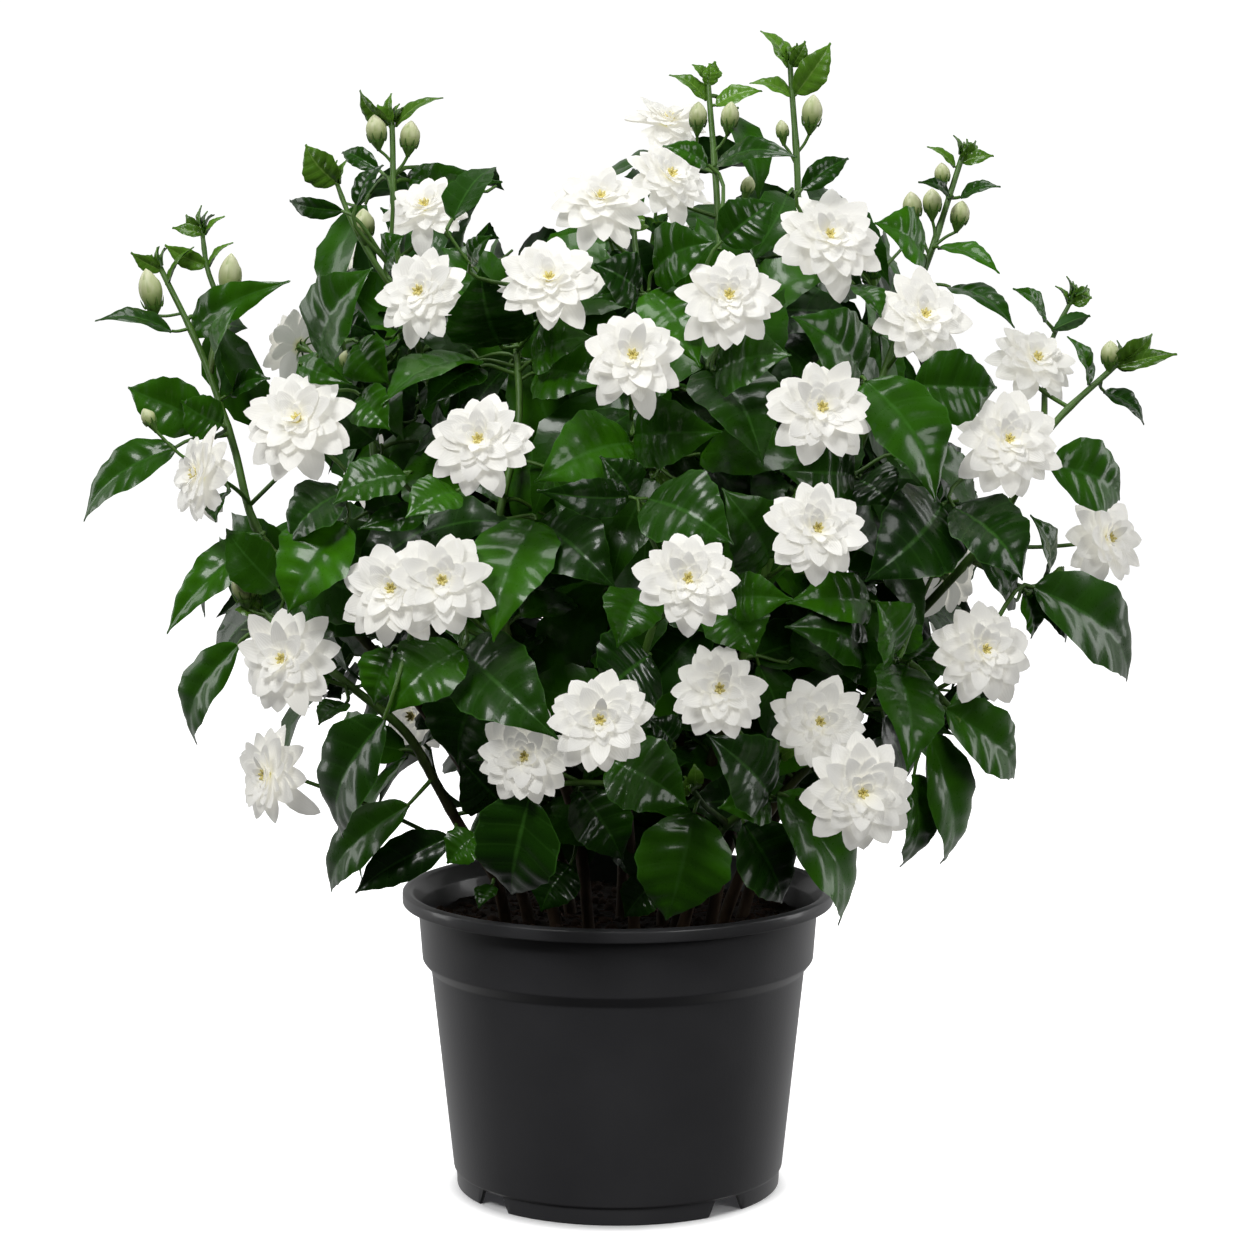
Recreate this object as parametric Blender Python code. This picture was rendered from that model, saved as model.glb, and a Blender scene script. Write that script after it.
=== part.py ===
"""A double white jasmine shrub growing in a black nursery pot.

The pot stands on its foot ring. Seventeen canes rise from plain holes in the soil.
Each cane is one solid with its side shoots, leaves, buds and flower stalks, and
each bloom is a solid of its own, seated on the calyx at the end of its stalk.
"""

import math
import random

import bmesh
import bpy
from mathutils import Matrix, Vector
from mathutils.bvhtree import BVHTree

MM = 0.001  # metres in one millimetre; every size below is in millimetres

# The pot, from its axis
SIDES = 32
WALL = 1.8
FOOT_RADIUS = 80.1
FOOT_HEIGHT = 8.3
BODY_FOOT_RADIUS = 81.7
BODY_TOP = (92.3, 108.5)
COLLAR_FOOT = (96.6, 113.8)
COLLAR_TOP = (98.7, 141.5)
LIP_RADIUS = 106.3
LIP_TOP = 148.6
FLOOR_TOP = 11.0
FLOOR_UNDER = 8.9
NOTCH_COUNT = 4
NOTCH_TURN = 41.0
NOTCH_WIDTH = (15.0, 22.0)
DRAIN_RADIUS = 5.0
DRAIN_RING = 52.0

# The soil and the holes that the canes stand in
GAP = 0.3
SOIL_TOP = 131.5
HOLE_RADIUS = 4.6
HOLE_DEPTH = 13.0
CANE_FOOT_RADIUS = 3.2
CANE_TIP_RADIUS = 1.4

# Front view: the eye stands here, looks down by EYE_TILT, and sees a picture
# plane through the pot's foot, on which u runs right and v runs up
EYE = Vector((4.5, -1580.0, 456.0))
EYE_TILT = math.radians(6.45)
PICTURE_REACH = 1622.5
PICTURE_CENTRE = (4.5, 278.0)

# The crown of leaves, as an ellipsoid
CROWN_CENTRE = Vector((5.0, 0.0, 325.0))
CROWN_REACH = Vector((250.0, 205.0, 235.0))

# A leaf's blade: where its cross-sections lie, how wide each is, and its wave
LEAF_STEPS = (0.10, 0.36, 0.62, 0.84)
DEEP_LEAF_STEPS = (0.12, 0.45, 0.80)
SMALL_LEAF_STEPS = (0.25, 0.70)
LEAF_ABOVE = 0.45
LEAF_BELOW = 0.95
LEAF_FOLD = 0.16
LEAF_WAVE = 1.3
PETIOLE = 0.85
TWIG = 20.0

# A bloom: petals in each layer, and their reach as shares of the bloom's radius
OUTER_PETALS = 7
INNER_PETALS = 4
CORE_RADIUS = 3.2
CALYX_RADIUS = 2.7
CALYX_LENGTH = 7.0

SEED = 4127


def spot(u, v, depth):
    """The point at this depth (y) that lies at u, v of the front view."""
    across = (u - PICTURE_CENTRE[0]) / PICTURE_REACH
    up = (v - PICTURE_CENTRE[1]) / PICTURE_REACH
    cos, sin = math.cos(EYE_TILT), math.sin(EYE_TILT)
    run = (depth - EYE.y) / (cos + up * sin)
    return Vector((EYE.x + run * across, depth, EYE.z + run * (up * cos - sin)))


def seen(point):
    """The u, v of the front view at which a point lies."""
    cos, sin = math.cos(EYE_TILT), math.sin(EYE_TILT)
    away = point - EYE
    run = away.y * cos - away.z * sin
    rise = away.y * sin + away.z * cos
    return (
        PICTURE_CENTRE[0] + PICTURE_REACH * away.x / run,
        PICTURE_CENTRE[1] + PICTURE_REACH * rise / run,
    )


def skin_depth(u, v):
    """The depth of the crown's front at u, v of the front view."""
    across = (u - CROWN_CENTRE.x) / CROWN_REACH.x
    up = (v - CROWN_CENTRE.z) / CROWN_REACH.z
    return -CROWN_REACH.y * math.sqrt(max(0.03, 1.0 - across**2 - up**2))


# Blooms of the front: u, v and depth of the centre, radius, and the way that it
# faces: turn to the right of the viewer and tilt up, in degrees
FRONT_BLOOMS = {
    "bloom_01": (-96, 486, -40, 22.5, -15, 48),
    "bloom_02": (-98, 444, -95, 22.5, -20, 25),
    "bloom_03": (-159, 380, -120, 27.0, -15, 28),
    "bloom_04": (-208, 354, -70, 23.5, -52, 12),
    "bloom_05": (-69, 370, -165, 24.0, -8, 25),
    "bloom_06": (-34, 450, -120, 24.5, -5, 35),
    "bloom_07": (-9, 490, -75, 23.0, 5, 45),
    "bloom_08": (25, 502, -35, 21.5, 30, 35),
    "bloom_09": (25, 529, 22, 22.0, 25, 62),
    "bloom_10": (7, 412, -165, 23.5, 3, 25),
    "bloom_11": (55, 442, -150, 23.5, 5, 25),
    "bloom_12": (105, 472, -90, 26.0, 12, 28),
    "bloom_13": (152, 432, -95, 24.5, 18, 30),
    "bloom_14": (101, 386, -165, 24.0, 10, 24),
    "bloom_15": (208, 410, -25, 23.0, 25, 42),
    "bloom_16": (194, 370, -105, 26.5, 15, 24),
    "bloom_17": (99, 326, -185, 23.5, 8, 22),
    "bloom_18": (243, 322, -40, 24.0, 40, 15),
    "bloom_19": (165, 304, -30, 21.0, 125, -10),
    "bloom_20": (35, 301, -205, 23.0, 2, 20),
    "bloom_21": (182, 266, -120, 24.5, 15, 15),
    "bloom_22": (-166, 261, -120, 24.5, -22, 18),
    "bloom_23": (-173, 204, -70, 24.5, -50, 5),
    "bloom_24": (-46, 213, -150, 22.5, -12, 12),
    "bloom_25": (-9, 231, -187, 23.5, 0, 14),
    "bloom_26": (50, 246, -175, 21.5, 6, 20),
    "bloom_27": (100, 230, -128, 22.5, 8, 14),
    "bloom_28": (121, 195, -168, 26.0, 12, 8),
    "bloom_29": (-160, 419, 20, 22.0, -130, 20),
    "bloom_30": (-122, 355, 25, 20.0, -40, 10),
    "bloom_31": (-139, 462, 70, 20.0, -60, 20),
    "bloom_32": (-101, 234, 30, 19.0, -30, 0),
}
# Two blooms grown into each other
TWIN_BLOOMS = ((-112, 296, -152, 25.0, -14, 20), (-88, 300, -158, 24.5, 2, 20))
# Blooms of the back: the centre in space, and the radius; they face outwards
BACK_BLOOMS = {
    "bloom_33": (-150, 118, 262, 23.5),
    "bloom_34": (-88, 165, 335, 24.0),
    "bloom_35": (-124, 112, 425, 23.0),
    "bloom_36": (-24, 182, 402, 24.5),
    "bloom_37": (22, 190, 272, 24.0),
    "bloom_38": (52, 142, 470, 23.0),
    "bloom_39": (100, 165, 345, 24.5),
    "bloom_40": (165, 105, 285, 24.0),
}

# Canes: where each foot stands in the soil (x, y), the route of its stem in the
# front view (u, v, depth), and the blooms that its shoots carry
CANES = {
    "leafy_stem_01": {
        "foot": (-44, -8),
        "route": (
            (-66, 190, -20), (-112, 255, -42), (-158, 303, -50), (-184, 332, -42),
            (-194, 376, -30), (-206, 411, -20), (-217, 426, -14), (-229, 458, -6),
        ),
        "sides": (((-203, 402, -22), (-200, 441, -8), (-207, 462, -2), (-208, 476, 2)),),
        "blooms": ("bloom_04", "bloom_03"),
    },
    "leafy_stem_02": {
        "foot": (-30, -26),
        "route": (
            (-52, 200, -48), (-86, 262, -70), (-112, 318, -72), (-122, 362, -55),
            (-128, 402, -30), (-139, 432, -12),
        ),
        "sides": (),
        "blooms": ("bloom_29", "bloom_30", "bloom_02"),
    },
    "leafy_stem_03": {
        "foot": (-54, -30),
        "route": (
            (-66, 165, -52), (-82, 180, -66), (-94, 206, -80), (-111, 231, -92),
            (-136, 250, -96), (-158, 268, -80), (-178, 286, -66),
        ),
        "sides": (),
        "blooms": ("bloom_22", "bloom_23"),
    },
    "leafy_stem_04": {
        "foot": (-24, 14),
        "route": (
            (-40, 220, 8), (-66, 310, 0), (-90, 385, -14), (-106, 440, -18),
            (-114, 496, -8), (-113, 530, -2),
        ),
        "sides": (((-104, 434, -18), (-121, 459, -16), (-136, 487, -8), (-141, 501, -4)),),
        "blooms": ("bloom_01", "bloom_31"),
    },
    "leafy_stem_05": {
        "foot": (-14, -38),
        "route": (
            (-24, 195, -62), (-48, 250, -98), (-62, 300, -112), (-56, 345, -110),
            (-48, 395, -92), (-52, 432, -70),
        ),
        "sides": (),
        "blooms": ("bloom_05", "bloom_twin", "bloom_06", "bloom_32"),
    },
    "leafy_stem_06": {
        "foot": (2, 2),
        "route": (
            (4, 225, -22), (5, 300, -58), (6, 345, -84), (10, 395, -92),
            (12, 445, -64), (8, 476, -40),
        ),
        "sides": (((6, 350, -84), (16, 357, -96), (24, 364, -100)),),
        "blooms": ("bloom_10", "bloom_07"),
    },
    "leafy_stem_07": {
        "foot": (22, -12),
        "route": (
            (32, 240, -30), (42, 330, -52), (48, 405, -52), (50, 469, -22),
            (48, 530, 6), (45, 551, 8),
        ),
        "sides": (),
        "blooms": ("bloom_11", "bloom_08", "bloom_09"),
    },
    "leafy_stem_08": {
        "foot": (34, 14),
        "route": (
            (52, 225, 14), (72, 320, 6), (84, 415, -8), (90, 490, -4),
            (89, 541, 6), (86, 560, 10),
        ),
        "sides": (),
        "blooms": ("bloom_12",),
    },
    "leafy_stem_09": {
        "foot": (46, -14),
        "route": (
            (70, 230, -26), (100, 310, -52), (122, 365, -64), (124, 400, -72),
            (145, 430, -48), (157, 468, -28), (165, 500, -20), (172, 513, -18),
        ),
        "sides": (),
        "blooms": ("bloom_13",),
    },
    "leafy_stem_10": {
        "foot": (62, 2),
        "route": (
            (92, 215, -8), (140, 275, -28), (178, 312, -50), (196, 340, -56),
            (212, 372, -50), (236, 396, -42), (250, 410, -36),
        ),
        "sides": (
            ((176, 310, -50), (205, 297, -52), (216, 300, -50)),
            ((212, 372, -50), (214, 405, -10), (219, 428, -2), (227, 442, 0)),
        ),
        "blooms": ("bloom_16", "bloom_15", "bloom_18"),
    },
    "leafy_stem_11": {
        "foot": (50, -38),
        "route": (
            (72, 180, -62), (98, 212, -78), (126, 242, -86), (142, 262, -90),
            (160, 250, -96), (166, 238, -98),
        ),
        "sides": (),
        "blooms": ("bloom_21", "bloom_19", "bloom_27"),
    },
    "leafy_stem_12": {
        "foot": (8, -54),
        "route": (
            (6, 178, -82), (2, 212, -112), (12, 262, -140), (22, 292, -150),
        ),
        "sides": (((2, 200, -100), (-24, 200, -118), (-44, 197, -122)),),
        "blooms": ("bloom_20", "bloom_24", "bloom_25"),
    },
    "leafy_stem_13": {
        "foot": (28, -38),
        "route": (
            (44, 200, -72), (62, 262, -108), (78, 318, -124), (94, 358, -122),
            (104, 372, -128),
        ),
        "sides": (),
        "blooms": ("bloom_17", "bloom_14"),
    },
    "leafy_stem_14": {
        "foot": (30, -60),
        "route": (
            (44, 165, -84), (62, 186, -104), (76, 194, -116), (80, 212, -122),
        ),
        "sides": (((56, 180, -98), (42, 190, -116), (38, 196, -122)),),
        "blooms": ("bloom_28", "bloom_26"),
    },
    "leafy_stem_15": {
        "foot": (-34, 38),
        "route": (
            (-50, 200, 68), (-82, 268, 100), (-98, 340, 112), (-92, 410, 108),
            (-76, 462, 86),
        ),
        "sides": (),
        "blooms": ("bloom_33", "bloom_34", "bloom_35"),
    },
    "leafy_stem_16": {
        "foot": (8, 48),
        "route": (
            (10, 210, 86), (14, 280, 122), (10, 350, 134), (8, 420, 120),
            (18, 475, 90),
        ),
        "sides": (),
        "blooms": ("bloom_36", "bloom_37", "bloom_38"),
    },
    "leafy_stem_17": {
        "foot": (46, 36),
        "route": (
            (72, 205, 68), (108, 270, 96), (126, 340, 104), (130, 400, 90),
            (128, 452, 62),
        ),
        "sides": (),
        "blooms": ("bloom_39", "bloom_40"),
    },
}

# Leaves of the front: u, v of the blade's foot, u, v of its tip, width, how far in
# front of the crown's skin it lies, and its roll in degrees. Each grows from the
# wood that passes nearest
LEAVES = (
    (-221, 368, -270, 332, 26, 0, -15),
    (-206, 381, -246, 398, 28, 0, 0),
    (-194, 397, -194, 438, 34, 0, 0),
    (-213, 426, -167, 451, 21, 0, 30),
    (-137, 346, -166, 321, 34, -20, 10),
    (-178, 324, -228, 276, 24, 0, -20),
    (-136, 330, -167, 286, 42, -8, 0),
    (-198, 379, -219, 391, 22, -25, 0),
    (-106, 354, -143, 341, 26, -25, 10),
    (-150, 414, -126, 458, 40, 5, 0),
    (-129, 394, -115, 377, 22, -30, 0),
    (-130, 420, -115, 400, 24, -40, 0),
    (-190, 269, -215, 218, 25, 0, -20),
    (-117, 232, -142, 171, 37, 15, 0),
    (-105, 189, -148, 145, 26, 0, -10),
    (-84, 173, -133, 145, 22, 0, -20),
    (-71, 174, -86, 160, 20, -10, 0),
    (-69, 246, -81, 209, 42, -50, 0),
    (-59, 191, -79, 212, 30, -55, 0),
    (-106, 502, -60, 501, 17, 0, 30),
    (-116, 460, -108, 474, 20, -10, 0),
    (-59, 419, -69, 456, 40, -35, 0),
    (-70, 411, -119, 393, 32, -25, 20),
    (-41, 331, -63, 273, 40, -30, 0),
    (-40, 331, -2, 299, 36, -14, 0),
    (-78, 267, -32, 224, 40, 8, 0),
    (-78, 267, -115, 236, 34, -8, 0),
    (-113, 267, -123, 239, 24, -25, 0),
    (-81, 346, -106, 334, 24, -35, 0),
    (-43, 411, -14, 424, 26, -35, 0),
    (-41, 405, -8, 400, 34, -40, 0),
    (-69, 408, -97, 389, 24, -35, 0),
    (8, 374, 50, 376, 32, -18, 20),
    (15, 342, 57, 321, 38, -14, 0),
    (7, 370, -40, 352, 36, -18, -10),
    (5, 343, -39, 346, 18, -22, -20),
    (8, 343, -8, 363, 22, -45, 0),
    (11, 446, -11, 460, 26, -30, 0),
    (16, 446, 41, 410, 28, -35, 0),
    (12, 296, 0, 269, 27, -14, 0),
    (52, 471, 78, 491, 24, -10, 0),
    (18, 456, 47, 471, 30, -10, 0),
    (45, 407, 73, 362, 40, -20, 0),
    (49, 406, 85, 415, 34, -30, 0),
    (56, 292, 86, 292, 22, -12, 20),
    (52, 291, 69, 264, 32, -16, 0),
    (122, 404, 89, 434, 36, -22, 0),
    (76, 311, 54, 346, 36, -45, 0),
    (124, 401, 161, 342, 42, -8, 0),
    (148, 399, 191, 398, 34, -20, 15),
    (166, 448, 199, 430, 20, -10, 20),
    (153, 464, 130, 481, 32, -10, 0),
    (216, 359, 254, 342, 34, 0, 10),
    (236, 399, 226, 424, 18, 0, 0),
    (168, 338, 204, 303, 44, 0, 0),
    (162, 339, 126, 302, 44, 5, 0),
    (213, 300, 209, 334, 22, -15, 0),
    (208, 298, 260, 251, 40, 0, 10),
    (203, 296, 208, 272, 22, -20, 0),
    (198, 292, 176, 322, 32, -35, 0),
    (138, 260, 147, 207, 38, 0, 0),
    (148, 204, 144, 156, 28, -5, 0),
    (156, 224, 166, 157, 32, 0, 15),
    (164, 237, 202, 202, 32, 0, 10),
    (138, 264, 131, 291, 36, -25, 0),
    (146, 262, 160, 275, 20, -25, 0),
    (126, 291, 86, 291, 26, -40, 0),
    (125, 266, 86, 279, 30, -45, 0),
    (-44, 194, -55, 142, 42, 6, 0),
    (-4, 211, 35, 189, 36, -10, 0),
    (28, 220, 16, 232, 20, -45, 0),
    (-24, 159, -39, 136, 26, -45, 0),
    (-19, 196, 3, 161, 30, -40, 0),
    (16, 264, -8, 246, 40, -50, 0),
    (118, 354, 83, 356, 34, -40, 0),
    (120, 352, 138, 339, 30, -30, 0),
    (38, 185, 24, 130, 44, 8, 0),
    (63, 180, 84, 139, 34, -5, 0),
    (80, 194, 116, 127, 38, 6, 0),
    (76, 191, 51, 188, 22, -8, 0),
    (76, 194, 47, 224, 36, -20, 0),
    (18, 151, 3, 133, 20, -40, 0),
)

# Young leaves of the shoots' tips: u, v of the foot, u, v of the tip, width
YOUNG = {
    "leafy_stem_04": (
        (-115, 530, -130, 546, 12),
        (-111, 530, -88, 544, 11),
        (-141, 501, -157, 519, 20),
    ),
    "leafy_stem_07": (
        (44, 541, 26, 555, 12),
        (50, 539, 72, 547, 12),
    ),
    "leafy_stem_08": (
        (85, 559, 72, 577, 17),
        (90, 545, 107, 570, 16),
        (87, 544, 66, 551, 14),
    ),
    "leafy_stem_10": (
        (249, 409, 268, 424, 18),
    ),
}

# Buds: u, v of the middle, radius, length, and how far its stalk reaches down
BUDS = {
    "leafy_stem_01": (
        (-234, 447, 5.6, 20, 12),
        (-194, 454, 5.6, 21, 14),
    ),
    "leafy_stem_02": (
        (-114, 364, 4.4, 17, 12),
    ),
    "leafy_stem_03": (
        (-187, 299, 6.2, 17, 10),
    ),
    "leafy_stem_04": (
        (-121, 527, 5.0, 14, 12),
        (-104, 524, 4.8, 14, 12),
        (-137, 477, 5.2, 15, 12),
        (-127, 480, 5.0, 14, 12),
        (-128, 442, 5.0, 14, 12),
    ),
    "leafy_stem_07": (
        (40, 534, 4.4, 13, 12),
        (56, 534, 4.4, 13, 12),
    ),
    "leafy_stem_08": (
        (97, 536, 5.0, 16, 14),
    ),
    "leafy_stem_09": (
        (147, 489, 4.6, 13, 16),
        (157, 491, 4.6, 12, 12),
        (171, 485, 4.6, 12, 14),
    ),
    "leafy_stem_10": (
        (246, 415, 4.6, 12, 8),
    ),
}

# Leaves that fill the inside and the back, placed by rule
FILL_LEAVES = 22
FILL_SPACING = 24.0
FILL_LENGTH = (50.0, 66.0)
FILL_WIDTH = (0.48, 0.58)


def facing(turn, tilt):
    """The unit vector that looks at the viewer, turned right and tilted up, in degrees."""
    turn, tilt = math.radians(turn), math.radians(tilt)
    return Vector(
        (
            math.sin(turn) * math.cos(tilt),
            -math.cos(turn) * math.cos(tilt),
            math.sin(tilt),
        )
    )


def flow(points, count):
    """This many points, evenly spaced on the smooth curve through the given ones."""
    knots = [2 * points[0] - points[1], *points, 2 * points[-1] - points[-2]]
    fine = []
    for a, b, c, d in zip(knots, knots[1:], knots[2:], knots[3:]):
        for step in range(12):
            t = step / 12
            bend = 2 * a - 5 * b + 4 * c - d
            twist = 3 * b - a - 3 * c + d
            fine.append(0.5 * (2 * b + (c - a) * t + bend * t**2 + twist * t**3))
    fine.append(points[-1].copy())
    runs = [0.0]
    for a, b in zip(fine, fine[1:]):
        runs.append(runs[-1] + (b - a).length)
    even, at = [], 0
    for i in range(count):
        goal = runs[-1] * i / (count - 1)
        while at < len(runs) - 2 and runs[at + 1] < goal:
            at += 1
        share = (goal - runs[at]) / max(runs[at + 1] - runs[at], 1e-9)
        even.append(fine[at].lerp(fine[at + 1], min(share, 1.0)))
    return even


def reach_over(start, leave, end, arrive, shares):
    """Points of a cubic curve that leaves and arrives along the given directions."""
    pull = 0.38 * (end - start).length
    first, second = start + leave * pull, end - arrive * pull
    return [
        start * (1 - t) ** 3
        + first * 3 * t * (1 - t) ** 2
        + second * 3 * t**2 * (1 - t)
        + end * t**3
        for t in shares
    ]


def loft(rings, tip=None):
    """A closed skin over rings of like counts, which ends flat or in a tip.

    The diagonals run alike on the upper and the lower face of a four-sided ring.
    """
    count = len(rings[0])
    points = [point for ring in rings for point in ring]
    faces = [tuple(reversed(range(count)))]
    for i in range(len(rings) - 1):
        for k in range(count):
            a, b = i * count + k, i * count + (k + 1) % count
            if k % 2:
                faces += [(a, b, a + count), (b, b + count, a + count)]
            else:
                faces += [(a, b, b + count), (a, b + count, a + count)]
    last = (len(rings) - 1) * count
    if tip is None:
        faces.append(tuple(range(last, last + count)))
        return points, faces
    points.append(tip)
    for k in range(count):
        faces.append((last + k, last + (k + 1) % count, len(points) - 1))
    return points, faces


def sweep(path, radii, sides):
    """A round stem along a path, closed flat at both ends."""
    side = (path[1] - path[0]).orthogonal().normalized()
    rings = []
    for i, centre in enumerate(path):
        ahead = (path[min(i + 1, len(path) - 1)] - path[max(i - 1, 0)]).normalized()
        side = (side - ahead * side.dot(ahead)).normalized()
        across = ahead.cross(side)
        ring = []
        for k in range(sides):
            turn = math.tau * k / sides
            ring.append(centre + radii[i] * (side * math.cos(turn) + across * math.sin(turn)))
        rings.append(ring)
    return loft(rings)


def blade_share(t):
    """A leaf's half width at t along its midrib, as a share of the widest."""
    return max(math.sin(math.pi * t**0.75), 0.0) ** 0.8


class Leaf:
    """One leaf: petiole from its root in the stem, blade from foot to tip."""

    def __init__(self, root, foot, tip, width, roll=0.0, sag=0.10, steps=LEAF_STEPS):
        self.root, self.foot, self.tip = root, foot, tip
        self.width, self.sag, self.steps = width, sag, steps
        self.chord = (tip - foot).normalized()
        outward = Vector((foot.x + tip.x, foot.y + tip.y, 0.0)) / 300.0
        look = Vector((0.0, -0.55 if foot.y < 60 else 0.0, 0.62)) + outward
        up = look - self.chord * look.dot(self.chord)
        if up.length < 0.15:
            up = self.chord.orthogonal()
        up = Matrix.Rotation(math.radians(roll), 3, self.chord) @ up.normalized()
        self.up = up.normalized()

    def rib(self, t):
        """The midrib's point at t, its upward normal and its side."""
        length = (self.tip - self.foot).length
        rise = self.sag * length * math.sin(math.pi * t)
        slope = self.sag * math.pi * math.cos(math.pi * t)
        point = self.foot + self.chord * length * t + self.up * rise
        ahead = (self.chord + self.up * slope).normalized()
        side = self.up.cross(self.chord)
        return point, ahead.cross(side), side

    def petiole_ring(self, centre, ahead):
        """The petiole's section at a point, square to the way that it runs there."""
        turn = self.chord.rotation_difference(ahead)
        wide = turn @ self.up.cross(self.chord) * PETIOLE
        high = turn @ self.up * PETIOLE
        return [centre + wide, centre + high, centre - wide, centre - high]

    def shape(self, pad=0.0, petiole=True):
        """The leaf as a thin folded blade with waved edges on its petiole."""
        rings = []
        if petiole:
            away = (self.foot - self.root).normalized()
            rings.append(self.petiole_ring(self.root, away))
            if len(self.steps) == len(LEAF_STEPS) or (self.foot - self.root).length > 10.0:
                rings.append(self.petiole_ring(self.foot, away * 0.98 + self.chord))
        for i, t in enumerate(self.steps):
            centre, up, side = self.rib(t)
            half = self.width / 2 * blade_share(t)
            wave = LEAF_WAVE * (-1) ** i * min(1.0, half / 8)
            lift = LEAF_FOLD * half
            rings.append(
                [
                    centre + side * (half + pad) + up * (lift + wave),
                    centre + up * (LEAF_ABOVE + pad),
                    centre - side * (half + pad) + up * (lift - wave),
                    centre - up * (LEAF_BELOW + pad),
                ]
            )
        return loft(rings, self.tip + self.chord * pad)


def bud_shape(root, middle, radius, length, lean):
    """A closed bud on its stalk: egg-shaped, pointed, upright but for its lean."""
    axis = (Vector((0.0, 0.0, 1.0)) + lean).normalized()
    bottom = middle - axis * length / 2
    turn = axis.rotation_difference(bottom - root)
    rings = []
    for centre, wide in ((root, 0.7), (bottom, 0.45 * radius), (middle, radius)):
        side = axis.orthogonal().normalized() * wide
        across = axis.cross(side)
        if centre is root:
            side, across = turn @ side, turn @ across
        rings.append([centre + side, centre + across, centre - side, centre - across])
    return loft(rings, middle + axis * length / 2)


class Bloom:
    """One double bloom: its centre, the way that it faces, radius and spin."""

    def __init__(self, centre, axis, radius, spin):
        self.centre, self.axis, self.radius, self.spin = centre, axis, radius, spin
        side = Vector((0.0, 0.0, 1.0)).cross(axis)
        self.side = side.normalized() if side.length > 0.2 else axis.orthogonal().normalized()
        self.over = axis.cross(self.side)
        self.seat = centre - axis * (1.5 + GAP)

    def at(self, turn, out, high):
        """A point round the axis at a turn, this far out and this high."""
        around = self.side * math.cos(turn) + self.over * math.sin(turn)
        return self.centre + around * out + self.axis * high

    def shape(self):
        """Two layers of keeled, pointed petals that spring from a low core."""
        points, faces = [], []
        layers = (
            (OUTER_PETALS, -1.5, 0.8, CORE_RADIUS, 0.63, 1.0, 0.255, 2.0),
            (INNER_PETALS, 1.6, 3.2, CORE_RADIUS * 0.85, 0.40, 0.64, 0.225, 7.5),
        )
        rows = []
        for count, low, high, core, _, _, _, _ in layers:
            for level in (low, high):
                rows.append((len(points), count))
                for k in range(count):
                    turn = self.spin + math.tau * k / count
                    points.append(self.at(turn, core, level))
        faces.append(tuple(reversed(range(OUTER_PETALS))))
        for layer, (start, count) in zip(layers, rows[::2]):
            _, low, high, _, shoulder, reach, wide, rise = layer
            for k in range(count):
                a, b = start + k, start + (k + 1) % count
                c, d = b + count, a + count
                turn = self.spin + math.tau * (k + 0.5) / count
                # every other petal lies a little higher, so that neighbours lap
                lap = 1.1 if k % 2 else -0.9
                out = shoulder * self.radius
                middle = self.at(turn, out, rise * 0.75 + lap + low * 0.3)
                half = wide * self.radius
                cross = self.axis.cross(middle - self.centre).normalized()
                left = len(points)
                points += [
                    middle - cross * half + self.axis * 1.2,
                    middle + cross * half + self.axis * 1.2,
                    middle - self.axis * 1.4,
                    self.at(turn, reach * self.radius, rise + lap + low * 0.3),
                ]
                right, keel, tip = left + 1, left + 2, left + 3
                faces += [
                    (d, right, left), (d, c, right), (left, right, tip),
                    (a, keel, b), (a, left, keel), (b, keel, right),
                    (left, tip, keel), (keel, tip, right),
                    (a, d, left), (b, right, c),
                ]
        # the core's neck between the layers, then its low dome
        upper, lower = rows[1], rows[2]
        i = j = 0
        while i < upper[1] or j < lower[1]:
            a, b = upper[0] + i % upper[1], lower[0] + j % lower[1]
            if j >= lower[1] or (i < upper[1] and (i + 1) / upper[1] <= (j + 1) / lower[1]):
                i += 1
                faces.append((a, upper[0] + i % upper[1], b))
            else:
                j += 1
                faces.append((a, lower[0] + j % lower[1], b))
        top, count = rows[3]
        points.append(self.at(0.0, 0.0, 5.2))
        for k in range(count):
            faces.append((top + k, top + (k + 1) % count, len(points) - 1))
        return points, faces


class Bed:
    """What stands in the pot so far, and a test for whether a new shape is clear."""

    def __init__(self):
        self.things = []

    def add(self, node, shape, kind="whole"):
        low, high = box_of(shape[0])
        self.things.append((node, kind, low, high, BVHTree.FromPolygons(*shape)))

    def crossed(self, shape, skip=(), only=None, kind="whole"):
        """The nodes whose shapes of this kind the new shape crosses."""
        low, high = box_of(shape[0])
        tree, found = None, set()
        for node, sort, bottom, top, other in self.things:
            if node in skip or node in found or sort != kind or (only and node != only):
                continue
            if any(low[i] > top[i] or high[i] < bottom[i] for i in range(3)):
                continue
            tree = tree or BVHTree.FromPolygons(*shape)
            if tree.overlap(other):
                found.add(node)
        return found


def box_of(points):
    low = [min(point[i] for point in points) for i in range(3)]
    high = [max(point[i] for point in points) for i in range(3)]
    return low, high


def bloom_list():
    """Every bloom by its node's name; the twin node holds two heads."""
    draw = random.Random(SEED)
    blooms = {}
    for name, (u, v, depth, radius, turn, tilt) in FRONT_BLOOMS.items():
        spin = draw.uniform(0.0, math.tau)
        blooms[name] = [Bloom(spot(u, v, depth), facing(turn, tilt), radius, spin)]
    blooms["bloom_twin"] = [
        Bloom(spot(u, v, depth), facing(turn, tilt), radius, draw.uniform(0.0, math.tau))
        for u, v, depth, radius, turn, tilt in TWIN_BLOOMS
    ]
    for name, (x, y, z, radius) in BACK_BLOOMS.items():
        axis = Vector((x, y, 0.45 * (z - CROWN_CENTRE.z) + 60.0)).normalized()
        blooms[name] = [Bloom(Vector((x, y, z)), axis, radius, draw.uniform(0.0, math.tau))]
    return blooms


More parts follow.
